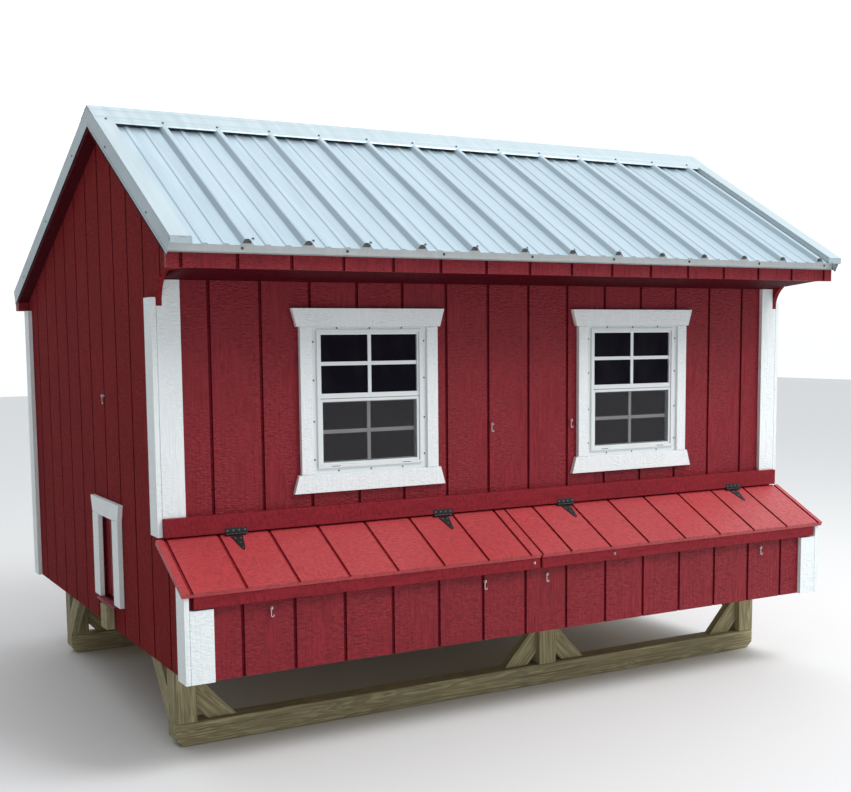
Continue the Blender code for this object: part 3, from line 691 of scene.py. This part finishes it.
def corner_boards():
    """White corner boards, with the seam where the two boards of each pair meet."""
    for place, facing in (("front", -1), ("nest", -1), ("back", 1)):
        for side, out in SIDES:
            node = f"corner_trim_{place}_{side}"
            low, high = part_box(node)
            x = LEFT if out < 0 else RIGHT
            y = low.y if facing < 0 else high.y
            seam = ((x, y, low.z - SEAM_OVERRUN), (x, y, high.z + SEAM_OVERRUN), (0, facing, 0))
            dressed(node, "white_up", 0.0015, (seam,))


# Nest boxes


def nest_lids():
    """Grooved lids, the boards under their edges, their hinges, and the ledger."""
    dressed("ledger", "red_board", 0.002)
    for side, _ in SIDES:
        nest_lid(side)
        dressed(f"nest_apron_{side}", "red_board", 0.002)
        for number in (1, 2):
            hinge_leaf(f"hinge_leaf_{side}_{number}")
            hinge_strap(f"hinge_strap_{side}_{number}")


def nest_lid(side):
    """One lid, with grooves that run down its slope."""
    node = f"nest_lid_{side}"
    low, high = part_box(node)
    mesh = frame["nodes"][node].data
    back = max((v.co for v in mesh.vertices), key=lambda co: co.z)
    front = min((v.co for v in mesh.vertices), key=lambda co: co.y)
    run = Vector((0, back.y - front.y, back.z - front.z))
    normal = Vector((0, -run.z, run.y)).normalized()
    cutter = bmesh.new()
    first = LEFT + LID_FIRST_GROOVE[side]
    for x in repeats(first, GROOVE_PITCH, low.x + GROOVE_WIDE, high.x - GROOVE_WIDE):
        ends = [Vector((x, front.y, front.z)) - run * 0.1, Vector((x, back.y, back.z)) + run * 0.1]
        add_groove(cutter, *ends, normal)
    bm = carved(copied(node), cutter)
    mark_grooves(bm, normal, run.normalized(), back.dot(normal), 1)
    publish(f"{node}_siding", bm, ("red_lid", "red_lid_groove"), node)


def hinge_leaf(leaf):
    """A leaf on the wall with its knuckles and screws."""
    low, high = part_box(leaf)
    axis_y = low.y + KNUCKLE_RADIUS
    axis_z = low.z + KNUCKLE_RADIUS
    plate_y = high.y - LEAF_THICK
    bm = bmesh.new()
    add_box(bm, (low.x, plate_y, axis_z), high)
    soften(bm, IRON_EDGE)
    length = (high.x - low.x) / KNUCKLES
    for n in range(KNUCKLES):
        matrix = Matrix.Translation((low.x + length * (n + 0.5), axis_y, axis_z))
        matrix = matrix @ Matrix.Rotation(math.pi / 2, 4, "Y")
        add_round(bm, 20, KNUCKLE_RADIUS, KNUCKLE_RADIUS, length - KNUCKLE_GAP, matrix)
    publish(f"{leaf}_finish", bm, "iron", leaf, smooth=True)
    screw_z = (axis_z + KNUCKLE_RADIUS + high.z) / 2
    places = [((low.x + (high.x - low.x) * t, plate_y, screw_z), (0, -1, 0)) for t in LEAF_SCREWS]
    fasteners(f"{leaf}_screws", places, SMALL_SCREW)


def hinge_strap(strap):
    """A tapered strap on a lid with its screws."""
    bm = copied(strap)
    soften(bm, IRON_EDGE)
    publish(f"{strap}_finish", bm, "iron", strap)
    low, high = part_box(strap)
    slope = math.atan2(high.z - low.z, high.y - low.y)
    normal = Vector((0, -math.sin(slope), math.cos(slope)))
    middle = (low.x + high.x) / 2
    places = []
    for t, shift in STRAP_SCREWS:
        y = low.y + (high.y - low.y) * t
        z = low.z + (high.z - low.z) * t
        places.append((Vector((middle + shift, y, z)) + normal * STRAP_SCREW_LIFT, normal))
    fasteners(f"{strap}_screws", places, SMALL_SCREW, body=body_of(strap))


def wire(name, strands, body):
    """Bent wire as one piece, each strand a list of points."""
    curve = bpy.data.curves.new(name, "CURVE")
    curve.dimensions = "3D"
    curve.bevel_depth = WIRE
    curve.bevel_resolution = 3
    curve.use_fill_caps = True
    for points in strands:
        spline = curve.splines.new("POLY")
        spline.points.add(len(points) - 1)
        for point, place in zip(spline.points, points):
            point.co = (*place, 1)
    drawn = bpy.data.objects.new(name, curve)
    bpy.context.scene.collection.objects.link(drawn)
    bpy.context.view_layer.update()
    mesh = bpy.data.meshes.new_from_object(drawn.evaluated_get(bpy.context.evaluated_depsgraph_get()))
    bpy.data.objects.remove(drawn)
    bm = bmesh.new()
    bm.from_mesh(mesh)
    publish(name, bm, "zinc", body=body, smooth=True)


def arc(radius, start, end, steps=14):
    """Points round part of a circle, from and to a share of a turn."""
    for n in range(steps + 1):
        angle = 2 * math.pi * (start + (end - start) * n / steps)
        yield radius * math.cos(angle), radius * math.sin(angle)


def hook(name, place, outward, body="coop", dangle=True):
    """A screw eye with a hook that hangs from it; the hook is left out where there is only an eye."""
    place = Vector(place)
    outward = Vector(outward)
    side = outward.cross(UP)
    centre = place + outward * (SHANK_OUT + EYE)
    shank = [place - outward * SHANK_IN, place + outward * SHANK_OUT]
    strands = [shank + [centre + outward * a + UP * b for a, b in arc(EYE, 0.5, 1.5)]]
    if dangle:
        top = centre + outward * EYE * 0.2 - UP * EYE * 0.4
        small = [top + side * a + UP * b for a, b in arc(EYE * 0.8, 0.25, 1.15)]
        foot = small[-1] - UP * HOOK_LENGTH
        bend = [foot + side * (a - EYE) + UP * b for a, b in arc(EYE, 0.0, -0.55)]
        strands.append(small + [small[-1] - UP * HOOK_STRAIGHT, foot] + bend[1:])
    wire(name, strands, body)


def hooks():
    """Hooks that hold the lids, open or shut, and the one that holds the hen door's cord."""
    ahead = (0, -1, 0)
    for number, x in enumerate(WALL_HOOKS):
        hook(f"wall_hook_{number}", (LEFT + x, FRONT, BASE + WALL_HOOK_HEIGHT), ahead)
    for number, x in enumerate(NEST_HOOKS):
        hook(f"nest_hook_{number}", (LEFT + x, NEST_FRONT, BASE + NEST_HOOK_HEIGHT), ahead)
    hook("gable_hook", (LEFT, FRONT + CORD_HOOK_DEPTH, BASE + CORD_HOOK_HEIGHT), (-1, 0, 0))
    for side, x in LID_EYES.items():
        low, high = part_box(f"nest_apron_{side}")
        place = (LEFT + x, low.y, (low.z + high.z) / 2)
        hook(f"lid_eye_{side}", place, ahead, f"nest_lid_{side}", dangle=False)


# Windows


class Window:
    """One window's places, and boxes laid out on it."""

    def __init__(self, side):
        low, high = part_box(f"window_frame_{side}")
        self.side = side
        self.middle = (low.x + high.x) / 2
        self.half = (high.x - low.x) / 2
        self.low = low.z
        self.high = high.z
        self.rail = low.z + MEETING_RAIL
        self.inner_low = low.z + FLANGE
        self.inner_high = high.z - TOP_FLANGE
        self.sill = self.inner_low + RIM
        self.head = self.inner_high - RIM
        self.inset = FLANGE + RIM
        self.reach = self.half - self.inset - SASH * 0.5

    def around(self, inset, width, depths, bottom, top, foot=None):
        """Four bars of a rectangle, inset from the window's sides, the lowest of them with its own height."""
        foot = width if foot is None else foot
        left, right = self.middle - self.half + inset, self.middle + self.half - inset
        front, back = (FRONT + depth for depth in depths)
        return [
            ((left, front, bottom), (left + width, back, top)),
            ((right - width, front, bottom), (right, back, top)),
            ((left + width, front, bottom), (right - width, back, bottom + foot)),
            ((left + width, front, top - width), (right - width, back, top)),
        ]

    def cross(self, depths, bottom, top, level):
        """An upright bar, and a level one in two halves."""
        front, back = (FRONT + depth for depth in depths)
        middle, reach = self.middle, self.reach
        return [
            ((middle - HALF_BAR, front, bottom), (middle + HALF_BAR, back, top)),
            ((middle - reach, front, level - HALF_BAR), (middle - HALF_BAR, back, level + HALF_BAR)),
            ((middle + HALF_BAR, front, level - HALF_BAR), (middle + reach, back, level + HALF_BAR)),
        ]

    def sheet(self, depths, bottom, top):
        """A sheet across the sashes."""
        front, back = (FRONT + depth for depth in depths)
        return ((self.middle - self.reach, front, bottom), (self.middle + self.reach, back, top))


def window_frame(unit):
    """The flange on the wall, and the deeper rim round the sashes."""
    boxes = unit.around(0, FLANGE, FLANGE_DEPTHS, unit.low, unit.high)
    bars(f"window_flange_{unit.side}", boxes, "enamel", edge=0.0004)
    boxes = unit.around(FLANGE, RIM, RIM_DEPTHS, unit.inner_low, unit.inner_high)
    bars(f"window_rim_{unit.side}", boxes, "enamel", f"window_frame_{unit.side}")


def window_sashes(unit):
    """The upper sash, and the lower one behind its screen's frame."""
    upper = unit.around(unit.inset, SASH * 0.55, UPPER_SASH, unit.rail + 0.1 * IN, unit.head, 0.75 * IN)
    bars(f"upper_sash_{unit.side}", upper, "enamel", edge=0.001)
    top = unit.rail + 0.02 * IN
    lower = unit.around(unit.inset, SASH, LOWER_SASH, unit.sill, top, 0.5 * IN)
    lower += unit.around(unit.inset, SASH * 0.8, SCREEN_FRAME, unit.sill, top, 0.35 * IN)
    bars(f"lower_sash_{unit.side}", lower, "enamel", edge=0.001)


def window_bars(unit):
    """Bars in front of the upper pane and, deeper in, in front of the lower one."""
    upper_level = (unit.rail + unit.inner_high) / 2 + 0.1 * IN
    upper = unit.cross(UPPER_BARS, unit.rail + 0.8 * IN, unit.head, upper_level)
    bars(f"upper_bars_{unit.side}", upper, "enamel", edge=0.001)
    lower = unit.cross(LOWER_BARS, unit.sill, unit.rail, (unit.sill + unit.rail) / 2)
    bars(f"lower_bars_{unit.side}", lower, "bar_grey", edge=0.0008)


def window_panes(unit):
    """Two panes, and the insect screen in front of the lower one."""
    front = LOWER_BARS[1] + PANE_GAP
    glass = bmesh.new()
    add_box(glass, *unit.sheet((0, PANE), unit.rail, unit.head))
    add_box(glass, *unit.sheet((front, front + PANE), unit.sill, unit.rail))
    publish(f"window_panes_{unit.side}", glass, "glass", f"window_glass_{unit.side}")
    screen = bmesh.new()
    add_box(screen, *unit.sheet(SCREEN, unit.sill, unit.rail))
    publish(f"insect_screen_{unit.side}", screen, "screen")


def window_details(unit):
    """Slots that drain the rim, drawn as thin dark boxes whose colour is painted shade in the openings, and the
    screws round the flange.
    """
    slots = []
    z = unit.inner_low + 0.24 * IN
    for way in (-1, 1):
        x = unit.middle + way * unit.half * SLOT_PLACE
        low = (x - HALF_SLOT, FRONT + SLOT_DEPTHS[0], z)
        high = (x + HALF_SLOT, FRONT + SLOT_DEPTHS[1], z + SLOT_HEIGHT)
        slots.append((low, high))
    bars(f"weep_slot_shade_{unit.side}", slots, "gap", edge=0.0002)
    places = []
    inward = FLANGE * 0.45
    for t in (0.22, 0.5, 0.78):
        for z in (unit.low + inward, unit.high - TOP_FLANGE / 2):
            places.append((unit.middle - unit.half + 2 * unit.half * t, z))
    for t in (0.1, 0.36, 0.64, 0.9):
        for x in (unit.middle - unit.half + inward, unit.middle + unit.half - inward):
            places.append((x, unit.low + (unit.high - unit.low) * t))
    screws = [((x, FRONT + FLANGE_DEPTHS[0], z), (0, -1, 0)) for x, z in places]
    fasteners(f"window_screws_{unit.side}", screws, SMALL_SCREW)


def window_casing(side):
    """White boards round a window, with seams where they meet."""
    node = f"window_casing_{side}"
    low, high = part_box(node)
    frame_low, frame_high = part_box(f"window_frame_{side}")
    seams = []
    for z in (frame_low.z, frame_high.z):
        for start, end in ((low.x, frame_low.x), (frame_high.x, high.x)):
            ends = ((start - SEAM_OVERRUN, low.y, z), (end + SEAM_OVERRUN, low.y, z))
            seams.append((*ends, (0, -1, 0)))
    dressed(node, "white_up", 0.0018, seams)


def windows():
    """Both windows with their casings."""
    for side, _ in SIDES:
        window_casing(side)
        unit = Window(side)
        window_frame(unit)
        window_sashes(unit)
        window_bars(unit)
        window_panes(unit)
        window_details(unit)


# Hen door


def hen_door():
    """The sliding door with its casing, sill, track and ramp block."""
    low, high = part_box("hen_door")
    middle = (low.y + high.y) / 2
    outward = (-1, 0, 0)
    cutter = bmesh.new()
    for shift in DOOR_GROOVES:
        y = middle + shift
        add_groove(cutter, (low.x, y, low.z - SEAM_OVERRUN), (low.x, y, high.z + SEAM_OVERRUN), outward)
    bm = carved(copied("hen_door"), cutter)
    publish("hen_door_siding", bm, "red_up", "hen_door")
    low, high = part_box("hen_door_casing")
    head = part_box("left_gable_over_door")[0].z
    seams = []
    for start, end in ((low.y, middle - DOOR_HALF_OPENING), (middle + DOOR_HALF_OPENING, high.y)):
        seams.append(((low.x, start - SEAM_OVERRUN, head), (low.x, end + SEAM_OVERRUN, head), outward))
    dressed("hen_door_casing", "white_up", 0.0015, seams)
    dressed("hen_door_sill", "red_up", 0.002)
    dressed("hen_door_track", "board_z", 0.002)
    ramp_block()


def ramp_block():
    """The block that a ramp hangs on, with its nails."""
    dressed("ramp_block", "lumber_z", 0.003)
    low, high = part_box("ramp_block")
    places = []
    for across, up in BLOCK_NAILS:
        place = (low.x, low.y + (high.y - low.y) * across, low.z + (high.z - low.z) * up)
        places.append((place, (-1, 0, 0)))
    fasteners("ramp_block_nails", places, NAIL, "gap")


# Roof


def slope_of(side):
    """Depth and height of a slope's boards at their eave and at the ridge."""
    points = [v.co for v in frame["nodes"][f"roof_boards_{side}"].data.vertices]
    ridge = max(points, key=lambda co: co.z)
    far = max(abs(co.y - ridge.y) for co in points)
    eave = max((co for co in points if abs(co.y - ridge.y) > far - 0.0001), key=lambda co: co.z)
    return Vector((eave.y, eave.z)), Vector((ridge.y, ridge.z))


def rise_of(side):
    """How fast a slope climbs along +Y."""
    eave, ridge = slope_of(side)
    return (ridge.y - eave.y) / (ridge.x - eave.x)


def ribs(low, high):
    """Places of the ribs between two limits."""
    return repeats(LEFT + FIRST_RIB, RIB_PITCH, low, high)


def sheet_profile(low, high):
    """Points across a ribbed sheet, as (x, height over its flat)."""
    points = [(low, 0.0)]
    for rib in ribs(low - RIB_PITCH, high + RIB_PITCH):
        folds = [(rib, RIB_BASE, RIB_TOP, RIB_HEIGHT)]
        folds += [(rib + RIB_PITCH * third / 3, BEAD_BASE, BEAD_TOP, BEAD_HEIGHT) for third in (1, 2)]
        for middle, base, top, height in folds:
            if low < middle - base / 2 and middle + base / 2 < high:
                half = [(base / 2, 0.0), (base * 0.44, height * 0.06)]
                half += [(top * 0.6, height * 0.9), (top * 0.35, height)]
                points += [(middle - across, up) for across, up in half]
                points += [(middle + across, up) for across, up in reversed(half)]
    return points + [(high, 0.0)]


class Slope:
    """One slope of the roof; way is -1 where it falls to the front and 1 to the back."""

    def __init__(self, side, way):
        low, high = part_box(f"metal_roof_{side}")
        fascia_low, fascia_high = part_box(f"fascia_{side}")
        self.side = side
        self.way = way
        self.ridge = slope_of(side)[1]
        self.rise = rise_of(side)
        self.stretch = math.hypot(1, self.rise)
        self.eave_y = low.y if way < 0 else high.y
        self.drip_foot = low.z
        self.drip_face = (fascia_low.y if way < 0 else fascia_high.y) + way * METAL

    def at(self, y):
        """The sheet's flat at a depth, as (depth, height)."""
        return (y, self.ridge.y + (y - self.ridge.x) * self.rise + SHEET_LIFT * self.stretch)


def roof_sheet(slope):
    """One slope's ribbed sheet."""
    node = f"metal_roof_{slope.side}"
    profile = sheet_profile(ROOF_LEFT + SHEET_INSET, ROOF_RIGHT - SHEET_INSET)
    path = [slope.at(slope.eave_y), slope.at(slope.ridge.x + slope.way * SHEET_UNDER_CAP)]
    rows = [[(x, y, z + up * slope.stretch) for x, up in profile] for y, z in path]
    bm = bmesh.new()
    add_plate(bm, rows, (0, 0, -SHEET_THICK))
    publish(f"{node}_sheet", bm, "roof", node)


def drip_edge(slope):
    """Bent metal down the fascia, kicked out at its foot."""
    face, foot = slope.drip_face, slope.drip_foot
    top = slope.at(face)[1] - SHEET_THICK - METAL / 2
    path = [(face + slope.way * DRIP_KICK, foot), (face, foot + DRIP_BEND), (face, top)]
    bm = bmesh.new()
    rows = [[(x, y, z) for x in (ROOF_LEFT, ROOF_RIGHT)] for y, z in path]
    add_plate(bm, rows, (0, slope.way * METAL, 0))
    publish(f"drip_edge_{slope.side}", bm, "drip_metal")


def rib_end_shade_fillers(slope):
    """Stepped dark fillers in the ribs' ends, a little way in from the eave; their dark grey is painted shade
    inside the rib openings.
    """
    front, back = sorted((slope.eave_y - slope.way * STOP_FRONT, slope.eave_y - slope.way * STOP_BACK))
    foot = slope.at(front)[1]
    stops = []
    for rib in ribs(ROOF_LEFT + RIB_BASE, ROOF_RIGHT - RIB_BASE):
        for half, low_part, high_part in STOP_STEPS:
            bottom = (rib - RIB_BASE * half, front, foot + RIB_HEIGHT * low_part)
            top = (rib + RIB_BASE * half, back, foot + RIB_HEIGHT * high_part)
            stops.append((bottom, top))
    bars(f"rib_end_shade_fillers_{slope.side}", stops, "dull_zinc", edge=0.0002)


def eave_screws(slope):
    """Screws beside the ribs near the eave, and along the drip edge."""
    row = slope.at(slope.eave_y - slope.way * EAVE_SCREWS)
    normal = Vector((0, -slope.rise, 1)).normalized()
    ends = (ROOF_LEFT + SCREW_MARGIN, ROOF_RIGHT - SCREW_MARGIN)
    places = [((rib + SCREW_FROM_RIB, *row), normal) for rib in ribs(*ends)]
    fasteners(f"metal_roof_{slope.side}_screws", places)
    y = slope.drip_face + slope.way * DRIP_SCREW_LIFT
    z = slope.drip_foot + DRIP_SCREW_HEIGHT
    along = repeats(LEFT + FIRST_DRIP_SCREW, DRIP_SCREW_PITCH, *ends)
    fasteners(f"drip_screws_{slope.side}", [((x, y, z), (0, slope.way, 0)) for x in along])


def ridge_cap():
    """The bent cap over the ridge with two beads on each side and hemmed edges."""
    low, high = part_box("ridge_cap")
    ridge_y = (slope_of("front")[1].x + slope_of("back")[1].x) / 2
    halves = []
    places = []
    for side, way in (("front", -1), ("back", 1)):
        fall = abs(rise_of(side))
        halves.append([(ridge_y + way * out * IN, high.z - out * IN * fall + up * IN) for out, up in CAP_STEPS])
        normal = Vector((0, way * fall, 1)).normalized()
        z = high.z - CAP_SCREWS * fall - CAP_SCREW_DROP
        middles = ribs(low.x + SCREW_MARGIN, high.x - SCREW_MARGIN)
        places += [((rib, ridge_y + way * CAP_SCREWS, z), normal) for rib in middles]
    section = halves[0][::-1] + halves[1][1:]
    bm = bmesh.new()
    add_plate(bm, [[(x, y, z) for y, z in section] for x in (low.x, high.x)], (0, 0, -CAP_THICK))
    publish("ridge_cap_finish", bm, "trim_metal", "ridge_cap")
    fasteners("ridge_cap_screws", places)


def rake_line(trim):
    """Points along the top of a rake trim from eave to eave, as (depth, height, slope of the trim there)."""
    low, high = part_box(trim)
    ridge = slope_of("front")[1]
    ends = []
    for side, y in (("front", low.y), ("back", high.y)):
        rise = rise_of(side)
        ends.append((y, high.z + (y - ridge.x) * rise, rise))
    return [ends[0], (ridge.x, high.z, 0.0), ends[1]]


def rake_flange(side, out, line):
    """The part of the trim that lies over the sheet, bent down to it and closed at the eaves."""
    flange = f"rake_flange_{side}"
    low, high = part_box(f"rake_trim_{side}")
    face = low.x if out < 0 else high.x
    flat_low, flat_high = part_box(flange)
    inner = flat_high.x if out < 0 else flat_low.x
    down = high.z - slope_of("front")[1].y - SHEET_LIFT - FLANGE_OVER_SHEET
    flat = [(face, -RAKE_BEND), (face - out * RAKE_BEND, 0), (inner + out * FLANGE_LIP, 0), (inner, -down)]
    bm = bmesh.new()
    add_plate(bm, [[(x, y, z + up) for x, up in flat] for y, z, _ in line], (0, 0, -METAL))
    left, right = sorted((face - out * METAL, inner))
    for y, z, _ in (line[0], line[-1]):
        front, back = sorted((y, y + math.copysign(METAL, line[1][0] - y)))
        add_box(bm, (left, front, z - down - FLANGE_END), (right, back, z - METAL / 2))
    publish(f"{flange}_finish", bm, "trim_metal", flange)


def rake_face(side, out, line):
    """The trim's face down the gable's edge, square-cut at the eaves, with its hem and screws."""
    trim = f"rake_trim_{side}"
    low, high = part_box(trim)
    face = low.x if out < 0 else high.x
    hem = face + out * RAKE_HEM
    folds = ((face, RAKE_BEND), (face, RAKE_DROP - HEM), (hem, RAKE_DROP - HEM), (hem, RAKE_DROP))
    rows = []
    for y, z, rise in line:
        share = 1 + rise * rise
        rows.append([(x, y + fall / share * rise, z - fall / share) for x, fall in folds])
    bm = bmesh.new()
    add_plate(bm, rows, (-out * METAL, 0, 0))
    publish(f"{trim}_finish", bm, "trim_metal", trim)
    places = []
    for (y0, z0, _), (y1, z1, _) in zip(line, line[1:]):
        count = max(2, round(math.hypot(y1 - y0, z1 - z0) / RAKE_SCREW_PITCH))
        for n in range(count):
            t = (n + 0.5) / count
            place = (face, y0 + (y1 - y0) * t, z0 + (z1 - z0) * t - RAKE_SCREW_DROP)
            places.append((place, (out, 0, 0)))
    fasteners(f"{trim}_screws", places, TRIM_SCREW)


def roof():
    """Both slopes, the ridge cap and the trims along the gables' edges."""
    for side, way in (("front", -1), ("back", 1)):
        slope = Slope(side, way)
        roof_sheet(slope)
        drip_edge(slope)
        rib_end_shade_fillers(slope)
        eave_screws(slope)
        repaint(f"roof_boards_{side}", "board_x")
    ridge_cap()
    for side, out in SIDES:
        line = rake_line(f"rake_trim_{side}")
        rake_flange(side, out, line)
        rake_face(side, out, line)


# Base


def base():
    """Skids, and posts with their braces."""
    for row in ("front", "back"):
        dressed(f"skid_{row}", "lumber_x", 0.004)
        for place in ("left", "middle", "right"):
            leg(row, place)
    repaint("floor", "board_x")


def leg(row, place):
    """A post and the braces that reach from it."""
    node = f"leg_{row}_{place}"
    low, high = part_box(node)
    x = {"left": low.x, "middle": (low.x + high.x - POST) / 2, "right": high.x - POST}[place]
    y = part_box(f"skid_{row}")[0].y
    bm = bmesh.new()
    add_box(bm, (x, y, low.z), (x + POST, y + POST, high.z))
    soften(bm, 0.003)
    publish(f"{node}_post", bm, "lumber_z", node)
    for way in BRACE_WAYS[place]:
        face = x + POST if way > 0 else x
        foot = (face + way * BRACE_FOOT, y + POST / 2, low.z)
        name = f"{node}_brace_{'right' if way > 0 else 'left'}"
        brace(name, foot, (-way, 0), ((face, 0, 0), (-way, 0, 0)), high.z)
    if place != "middle":
        way = 1 if row == "front" else -1
        face = y + POST if way > 0 else y
        across = x + BRACE_THICK / 2 if place == "left" else x + POST - BRACE_THICK / 2
        foot = (across, face, low.z)
        brace(f"{node}_brace_inward", foot, (0, way), ((0, face, 0), (0, -way, 0)), high.z)


def brace(name, foot, lean, post_side, top):
    """A sloping board that leans one way as it rises, cut level at both ends and flush with its post's face."""
    foot = Vector(foot)
    level, up = math.cos(BRACE_SLOPE), math.sin(BRACE_SLOPE)
    along = Vector((lean[0] * level, lean[1] * level, up))
    outward = Vector((-lean[0] * up, -lean[1] * up, level))
    matrix = Matrix((along, outward.cross(along), outward)).transposed().to_4x4()
    matrix.translation = foot
    bm = bmesh.new()
    add_box(bm, (-BRACE_BELOW, -BRACE_THICK / 2, 0), (BRACE_ABOVE, BRACE_THICK / 2, POST))
    bmesh.ops.transform(bm, matrix=matrix, verts=bm.verts)
    for point, normal in (((0, 0, foot.z), -UP), post_side, ((0, 0, top), UP)):
        geometry = list(bm.verts) + list(bm.edges) + list(bm.faces)
        cut = bmesh.ops.bisect_plane(bm, geom=geometry, plane_co=point, plane_no=normal, clear_outer=True)
        edges = [item for item in cut["geom_cut"] if isinstance(item, bmesh.types.BMEdge)]
        bmesh.ops.edgeloop_fill(bm, edges=edges)
    soften(bm, 0.002)
    bmesh.ops.transform(bm, matrix=matrix.inverted(), verts=bm.verts)
    publish(name, bm, "lumber_x", matrix=matrix)


# Stage


def studio_floor():
    """A wide pale floor."""
    bpy.ops.mesh.primitive_plane_add(size=FLOOR_SIZE, location=(0, 0, -0.001))
    ground = bpy.context.object
    ground.name = "studio_floor"
    paint = bpy.data.materials.new("studio_floor")
    paint.use_nodes = True
    shader = paint.node_tree.nodes["Principled BSDF"]
    shader.inputs["Base Color"].default_value = (FLOOR_GREY, FLOOR_GREY, FLOOR_GREY, 1)
    shader.inputs["Roughness"].default_value = 0.95
    ground.data.materials.append(paint)


def overhead_lamp():
    """A large soft lamp, high on the right."""
    light = bpy.data.lights.new("overhead", "AREA")
    light.size = LAMP_SIZE
    light.energy = LAMP_POWER
    lamp = bpy.data.objects.new("overhead", light)
    lamp.location = LAMP_PLACE
    lamp.rotation_euler = (Vector(LAMP_AIM) - lamp.location).to_track_quat("-Z", "Y").to_euler()
    bpy.context.scene.collection.objects.link(lamp)


def place_camera():
    """The camera, fitted to the coop's corners."""
    camera = bpy.data.objects.new("camera", bpy.data.cameras.new("camera"))
    camera.location = CAMERA_PLACE
    camera.rotation_euler = [math.radians(angle) for angle in CAMERA_TURN]
    camera.data.lens = CAMERA_LENS
    camera.data.shift_x, camera.data.shift_y = CAMERA_SHIFT
    bpy.context.scene.collection.objects.link(camera)
    bpy.context.scene.camera = camera


def sky():
    """A world that is brightest overhead and behind the coop, and dimmer at the other horizons."""
    world = bpy.data.worlds.new("studio")
    bpy.context.scene.world = world
    world.use_nodes = True
    tree = world.node_tree
    background = tree.nodes["Background"]
    background.inputs["Color"].default_value = SKY_COLOUR
    direction = tree.nodes.new("ShaderNodeTexCoord")
    parts = tree.nodes.new("ShaderNodeSeparateXYZ")
    tree.links.new(direction.outputs["Generated"], parts.inputs[0])
    overhead = sky_share(tree, parts.outputs["Z"], *OVERHEAD_SKY)
    backdrop = sky_share(tree, parts.outputs["Y"], *BACKDROP_SKY)
    from_right = sky_share(tree, parts.outputs["X"], *SKY_FROM_RIGHT)
    total = tree.nodes.new("ShaderNodeMath")
    tree.links.new(overhead, total.inputs[0])
    tree.links.new(backdrop, total.inputs[1])
    lit = tree.nodes.new("ShaderNodeMath")
    lit.operation = "MULTIPLY"
    tree.links.new(total.outputs[0], lit.inputs[0])
    tree.links.new(from_right, lit.inputs[1])
    tree.links.new(lit.outputs[0], background.inputs["Strength"])


def sky_share(tree, part, low, high, least, most):
    """A part of the direction, from low to high, as a share of the sky's strength."""
    share = tree.nodes.new("ShaderNodeMapRange")
    tree.links.new(part, share.inputs["Value"])
    share.inputs["From Min"].default_value = low
    share.inputs["From Max"].default_value = high
    share.inputs["To Min"].default_value = least
    share.inputs["To Max"].default_value = most
    return share.outputs[0]


def stage():
    """Floor, sky, lamp and camera."""
    studio_floor()
    sky()
    overhead_lamp()
    place_camera()
    bpy.context.scene.view_settings.view_transform = "Standard"


stage()
walls()
fascias()
corner_boards()
nest_lids()
hooks()
windows()
hen_door()
roof()
base()
